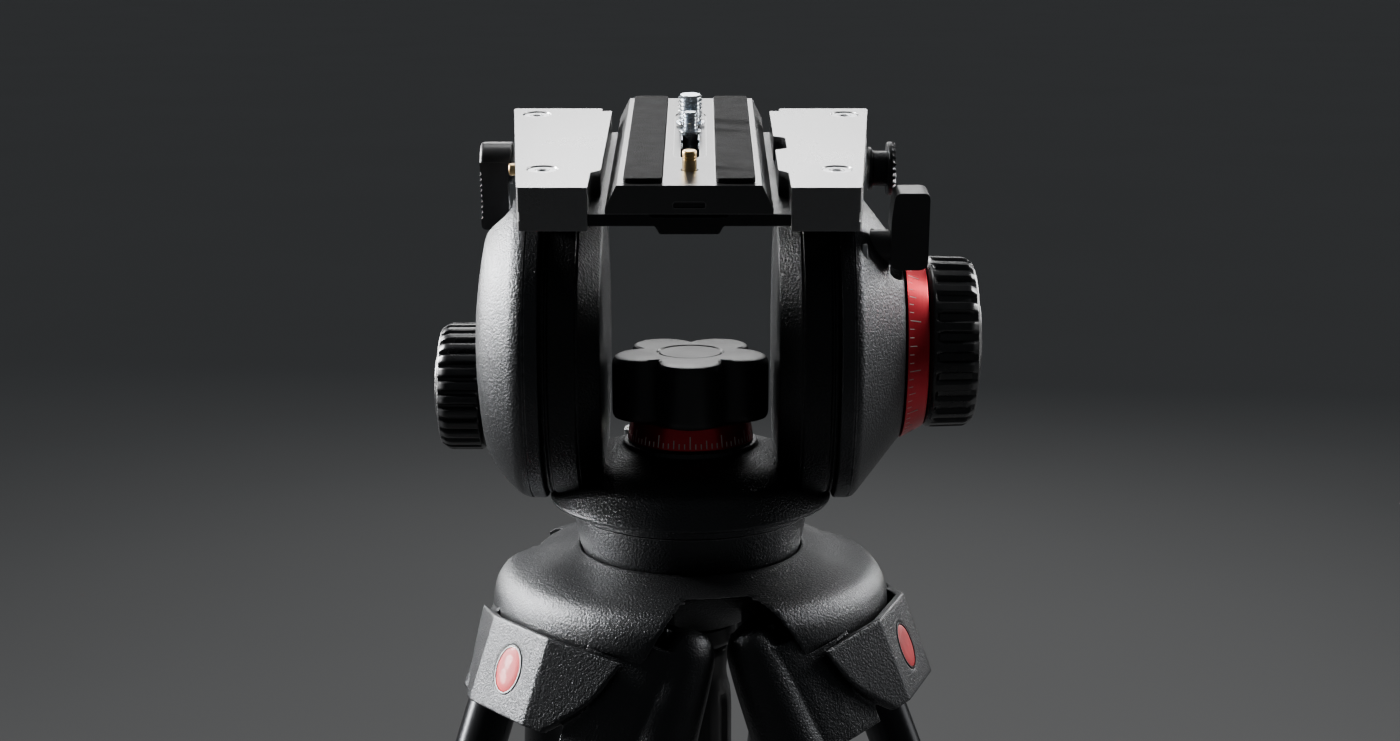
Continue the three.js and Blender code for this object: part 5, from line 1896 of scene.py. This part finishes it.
            for radius, low in ((self.tube + 0.3, -self.upper - 0.3), (self.lower + 0.4, -900)):
                cutters.append(Solid.lathe([(0, low), (radius, low), (radius, 0), (0, 0)],
                                           64).moved(shift(side * self.half)))
        pivot, stand, half, _ = self.lever
        cutters.append(Solid.lathe([(0, -half - 7), (2.4, -half - 7), (2.4, half + 7), (0, half + 7)],
                                   32).moved(shift(0, -stand, -pivot), across()))
        return web.join(*parts).cut(*cutters)

    def clamp_lever(self) -> Solid:
        """The flip lever that clamps the lower tubes, about its pin.

        Returns:
            The solid.
        """
        pivot, stand, half, length = self.lever
        pin = Solid.lathe([(0, -half - 5), (2.1, -half - 5, 0.4), (2.1, half + 5, 0.4), (0, half + 5)],
                          32).moved(across())
        roll = Solid.lathe([(0, -half), (3.9, -half, 0.8), (3.9, half, 0.8), (0, half)], 48).moved(across())
        leaf = Solid.prism([(-half, 0), (-half, -length + 10, 6), (-half + 7, -length, 8),
                            (half - 7, -length, 8), (half, -length + 10, 6), (half, 0)],
                           -1.1, 3.9, 6).moved(turn("X", 90))
        grips = [Solid.box((2 * half - 16, 1, 1.4), (0, -3.9, -length + 8 + 4 * k)) for k in range(5)]
        return leaf.join(pin, roll).cut(*grips).moved(shift(0, -stand, -pivot))

    def foot_body(self) -> Solid:
        """The casting that joins the lower tubes.

        Returns:
            The solid.
        """
        top, socket, bottom = self.foot
        parts = []
        cutters = []
        for side in (-1, 1):
            parts.append(Solid.lathe([(0, -bottom), (10.4, -bottom, 2), (11.6, -bottom + 4, 2),
                                      (11.6, -top, 1.2), (0, -top)], 64)
                         .moved(shift(side * self.half)))
            cutters.append(Solid.lathe([(0, -socket), (8.5, -socket), (8.5, 0), (0, 0)],
                                       64).moved(shift(side * self.half)))
        web = Solid.prism([(-self.half, -bottom + 0.4), (self.half, -bottom + 0.4), (self.half, -top - 2),
                           (34, -top - 3, 6), (14, -top - 7, 10), (-14, -top - 7, 10),
                           (-34, -top - 3, 6), (-self.half, -top - 2)], -6.9, 6.9, 6).moved(turn("X", 90))
        return web.join(*parts).cut(*cutters)

    def rubber(self) -> Solid:
        """The rubber foot, with rings round its ball.

        Returns:
            The solid.
        """
        end, r = self.ball
        rings = []
        for k in range(15):
            a = math.radians(-88 + 100 * k / 14)
            q = r * math.cos(a) - (0.5 if k % 3 == 2 and 2 < k < 13 else 0)
            rings.append((q, -end + r * math.sin(a), 0.2))
        profile = [(0, -end - r + 0.02), *rings, (12.6, -self.foot[2] - 4, 1), (12, -self.foot[2] - 0.3, 0.5),
                   (0, -self.foot[2] - 0.3)]
        return Solid.lathe(profile, 96)

    def build(self, place: Matrix) -> None:
        """Makes the leg.

        Args:
            place: the leg's own frame.
        """
        n = self.number
        upper, lower, lever, crown = (Bench(place, b) for b in (f"leg_{n}", f"leg_{n}_lower",
                                                                f"leg_{n}_lever", "tripod_top"))
        upper.add(f"collar_{n}", self.collar(), Finish.CROWN, [f"leg_{n}_collar"], Edge(0), smooth=60)
        oval, rim = self.badge()
        upper.add(f"badge_{n}", oval, Finish.BADGE, edge=Edge(0))
        upper.add(f"badge_rim_{n}", rim, Finish.RIM, edge=Edge(0))
        for side, name in ((-1, "left"), (1, "right")):
            put = shift(side * self.half)
            tube = self.pipe(self.tube, self.tube - self.wall, -self.upper, -9.8).moved(put)
            upper.add(f"tube_{n}_{name}", tube, Finish.TUBE, [f"leg_{n}_upper_tube_{name}"], Edge(0))
            low, high = -self.lower_span[1], -self.lower_span[0]
            tube = self.pipe(self.lower, self.lower - self.lower_wall, low, high).moved(put)
            lower.add(f"inner_tube_{n}_{name}", tube, Finish.TUBE, [f"leg_{n}_lower_tube_{name}"], Edge(0))
        upper.add(f"clamp_casting_{n}", self.clamp_body(), Finish.CAST, [f"leg_{n}_clamp_bracket"],
                  Edge(0.5, 2, 40))
        lever.add(f"flip_lever_{n}", self.clamp_lever(), Finish.LEVER, [f"leg_{n}_clamp_lever"], Edge(0.5, 3))
        lower.add(f"foot_casting_{n}", self.foot_body(), Finish.CAST, [f"leg_{n}_foot_bracket"],
                  Edge(0.5, 2, 40))
        lower.add(f"foot_{n}", self.rubber(), Finish.FOOT, [f"leg_{n}_rubber_foot"], Edge(0))
        half = self.lug + 7
        bolt = Solid.lathe([(0, -half), (2.6, -half), (4, -half + 1, 0.4), (4, half - 1, 0.4), (2.6, half),
                            (0, half)], 48).moved(across())
        crown.add(f"leg_bolt_{n}", bolt, Finish.STEEL, [f"leg_{n}_pivot_bolt"], Edge(0))


@dataclass
class Spreader:
    """The mid-level spreader: a hub and an arm to each leg."""

    azimuths: tuple[float, ...]
    radius: float = 22
    lip: float = 5
    height: float = 26
    bore: float = 9
    half: float = 5
    thickness: float = 8
    eye: float = 5.5

    def hub(self) -> Solid:
        """The hub, slotted for each arm.

        Returns:
            The solid.
        """
        r, h = self.radius, self.height / 2
        body = Solid.lathe([(self.bore, -h), (r - 2, -h, 1), (r + self.lip, -h + 6, 2),
                            (r + self.lip, h - 6, 2), (r - 2, h, 1),
                            (13, h, 0.5), (12.4, h - 1, 0.5), (self.bore, h - 1), (self.bore, -h + 0.01)], 96,
                            5)
        slots = []
        for k in range(3):
            slot = Solid.box((2 * self.half + 0.8, 60, 60), (0, -r + self.eye + 3 - 30, 0))
            slots.append(slot.moved(turn("Z", self.azimuths[0] + 120 * k)))
        return body.cut(*slots)

    def arm(self, length: float) -> Solid:
        """An arm along -Y with an eye at both ends and a channel along it.

        Args:
            length: between the middles of its two eyes.

        Returns:
            The solid.
        """
        eyes = []
        for y in (0, -length):
            eye = Solid.lathe([(0, -self.half), (self.eye, -self.half, 0.5), (self.eye, self.half, 0.5),
                               (0, self.half)], 48)
            eyes.append(eye.moved(shift(0, y), across()))
        t = self.thickness / 2
        bar = Solid.box((2 * self.half - 0.6, length, 2 * t - 0.6), (0, -length / 2, 0))
        channels = []
        for z in (-1, 1):
            slot = Solid.prism([(-2.6, -length + 11, 2.5), (2.6, -length + 11, 2.5), (2.6, -11, 2.5),
                                (-2.6, -11, 2.5)], t - 1.8, t + 2)
            channels.append(slot if z > 0 else slot.moved(Matrix.Diagonal((1, 1, -1, 1))))
        rivets = []
        for y in (0, -length):
            rivets.append(Solid.lathe([(0, -self.half - 0.3), (2, -self.half - 0.3, 0.3),
                                       (2, self.half + 0.3, 0.3), (0, self.half + 0.3)], 32)
                          .moved(shift(0, y), across()))
        return bar.join(*eyes).cut(*channels).join(*rivets)

    def build(self, legs: Sequence[Leg]) -> None:
        """Makes the hub and the arms.

        Args:
            legs: the legs, which give the arms their length.
        """
        first = at("spreader_arm_1_turn")
        pan = Vector((TILT_AXIS.x, TILT_AXIS.y, first.z))
        hub = Bench(in_frame(pan), "spreader_hub")
        hub.add("spreader_boss", self.hub(), Finish.LEVER, ["spreader_hub"], Edge(0.6, 2, 40))
        for leg in legs:
            n = leg.number
            a, u = leg.spreader
            start = at(f"spreader_arm_{n}_turn")
            end = leg_place(n) @ Vector((0, -u, -a))
            along = end - start
            drop = math.degrees(math.atan2(-along.z, math.hypot(along.x, along.y)))
            place = in_frame(start, turn("Z", self.azimuths[n - 1]) @ turn("X", drop))
            arm = self.arm(along.length / MM)
            Bench(place, f"spreader_arm_{n}").add(f"spreader_strut_{n}", arm, Finish.CAST_FINE,
                                                  [f"spreader_arm_{n}"], Edge(0.4, 2, 40))


def leg_place(number: int) -> Matrix:
    """A leg's own frame, from its pivot: X across it, -Z down it, -Y outward.

    Args:
        number: the leg's number.

    Returns:
        The frame.
    """
    across_leg = Vector(JOINTS[f"leg_{number}_fold"]["axis"]).normalized()
    up = -Vector(JOINTS[f"leg_{number}_extend"]["axis"]).normalized()
    inward = up.cross(across_leg)
    turned = Matrix((across_leg, inward, up)).transposed().to_4x4()
    return in_frame(at(f"leg_{number}_fold"), turned)


# ---- studio ----

@dataclass(frozen=True)
class Panel:
    """A soft rectangular light."""

    name: str
    place: tuple[float, float, float]
    aim: tuple[float, float, float]
    size: Point
    power: float
    tint: tuple[float, float, float] = (1.0, 1.0, 1.0)
    spread: float = 180

    def build(self, origin: Vector) -> None:
        """Hangs the light at a place measured from the tilt axis, in metres.

        Args:
            origin: the tilt axis, in metres.
        """
        data = bpy.data.lights.new(self.name, "AREA")
        data.shape, data.size, data.size_y = "RECTANGLE", *self.size
        data.energy, data.color, data.spread = self.power, self.tint, math.radians(self.spread)
        lamp = bpy.data.objects.new(self.name, data)
        lamp.visible_camera = False
        spot, aim = origin + Vector(self.place), origin + Vector(self.aim)
        lamp.matrix_world = Matrix.Translation(spot) @ (aim - spot).to_track_quat("-Z",
                                                                                  "Y").to_matrix().to_4x4()
        bpy.context.scene.collection.objects.link(lamp)


@dataclass
class Studio:
    """The camera, the floor and the lights."""

    lens: float = 53.4
    pitch: float = 12.07
    stand: tuple[float, float, float] = (3.7, -784.6, 156.2)
    panels: tuple[Panel, ...] = (
        Panel("rear_top", (-0.06, 0.75, 0.45), (0.0, 0.0, 0.05), (0.5, 0.14), 0.3, spread=60),
        Panel("overhead", (-0.05, 0.2, 0.55), (0.0, 0.0, 0.0), (0.22, 0.12), 0.16, spread=80),
        Panel("left_key", (-0.5, 0.13, 0.2), (-0.06, 0.0, 0.03), (0.1, 0.3), 2.1, spread=60),
        Panel("rear_left", (-0.58, 0.6, 0.16), (0.0, 0.0, -0.03), (0.1, 0.35), 0.7, spread=60),
        Panel("rear_right", (0.58, 0.6, 0.16), (0.0, 0.0, -0.03), (0.08, 0.35), 0.5, spread=60),
        Panel("right_edge", (0.5, 0.12, 0.24), (0.05, 0.0, 0.0), (0.06, 0.22), 0.3, spread=60),
        Panel("badge_left", (-0.6, 0.06, -0.06), (-0.09, -0.06, -0.16), (0.05, 0.12), 0.25, spread=40),
        Panel("low_left", (-1.6, 0.25, -0.05), (0.0, 0.0, -0.45), (0.8, 0.8), 5.0),
        Panel("low_right", (1.6, 0.55, -0.05), (0.0, 0.0, -0.45), (0.8, 0.8), 4.0),
        Panel("low_back", (0.3, 2.4, 0.9), (0.0, 0.0, -0.45), (1.2, 0.8), 5.0),
    )

    def camera(self) -> None:
        """Puts the camera in front of the head, above it and looking slightly down."""
        data = bpy.data.cameras.new("camera")
        data.lens, data.sensor_width = self.lens, 36
        data.clip_start, data.clip_end = 0.02, 300
        cam = bpy.data.objects.new("camera", data)
        cam.location = TILT_AXIS + Vector(self.stand) * MM
        cam.rotation_euler = (math.radians(90 - self.pitch), 0, 0)
        bpy.context.scene.collection.objects.link(cam)
        bpy.context.scene.camera = cam

    def floor(self) -> None:
        """Lays the plain pale floor."""
        bm = bmesh.new()
        bmesh.ops.create_grid(bm, x_segments=2, y_segments=2, size=80)
        mesh = bpy.data.meshes.new("floor")
        bm.to_mesh(mesh)
        bm.free()
        plane = bpy.data.objects.new("floor", mesh)
        plane.location.z = min(CAD_BOX[0][2], 0.0)
        g = Graph("pale_floor")
        soft = g.noise(g.place(), 1.2, 3.0)
        g.feed(g.shader, {"Base Color": g.blend(soft, (0.5, 0.5, 0.5), (0.56, 0.56, 0.56)),
                          "Roughness": soft * 0.1 + 0.7})
        mesh.materials.append(g.material)
        bpy.context.scene.collection.objects.link(plane)

    def lights(self) -> None:
        """Hangs the soft lights and dims the surroundings."""
        for panel in self.panels:
            panel.build(TILT_AXIS)
        world = bpy.data.worlds.new("studio")
        world.use_nodes = True
        sky = world.node_tree.nodes["Background"]
        sky.inputs["Color"].default_value = (0.9, 0.95, 1.0, 1)
        sky.inputs["Strength"].default_value = 0.06
        bpy.context.scene.world = world


def main() -> None:
    """Builds the studio and the object."""
    logging.basicConfig(level=logging.INFO, format="%(name)s: %(message)s")
    studio = Studio()
    studio.camera()
    studio.floor()
    studio.lights()
    azimuths = tuple(math.degrees(math.atan2(a.y, a.x)) for a in
                     (Vector(JOINTS[f"leg_{n}_fold"]["axis"]) for n in (1, 2, 3)))
    head = Bench(TILTED, "tilt_head")
    platform = Platform()
    platform.build(head)
    CameraPlate().build(Bench(TILTED, "sliding_plate"))
    SideFittings(platform).build(head)
    Housings().build(head, platform)
    PanHead().build(Bench(UPRIGHT, "pan_housing"))
    Bowl().build(Bench(UPRIGHT, "levelling_ball"))
    Crown(azimuths).build(Bench(UPRIGHT, "tripod_top"))
    legs = [Leg(n) for n in (1, 2, 3)]
    for leg in legs:
        leg.build(leg_place(leg.number))
    Spreader(azimuths).build(legs)


if __name__ == "__main__":
    main()
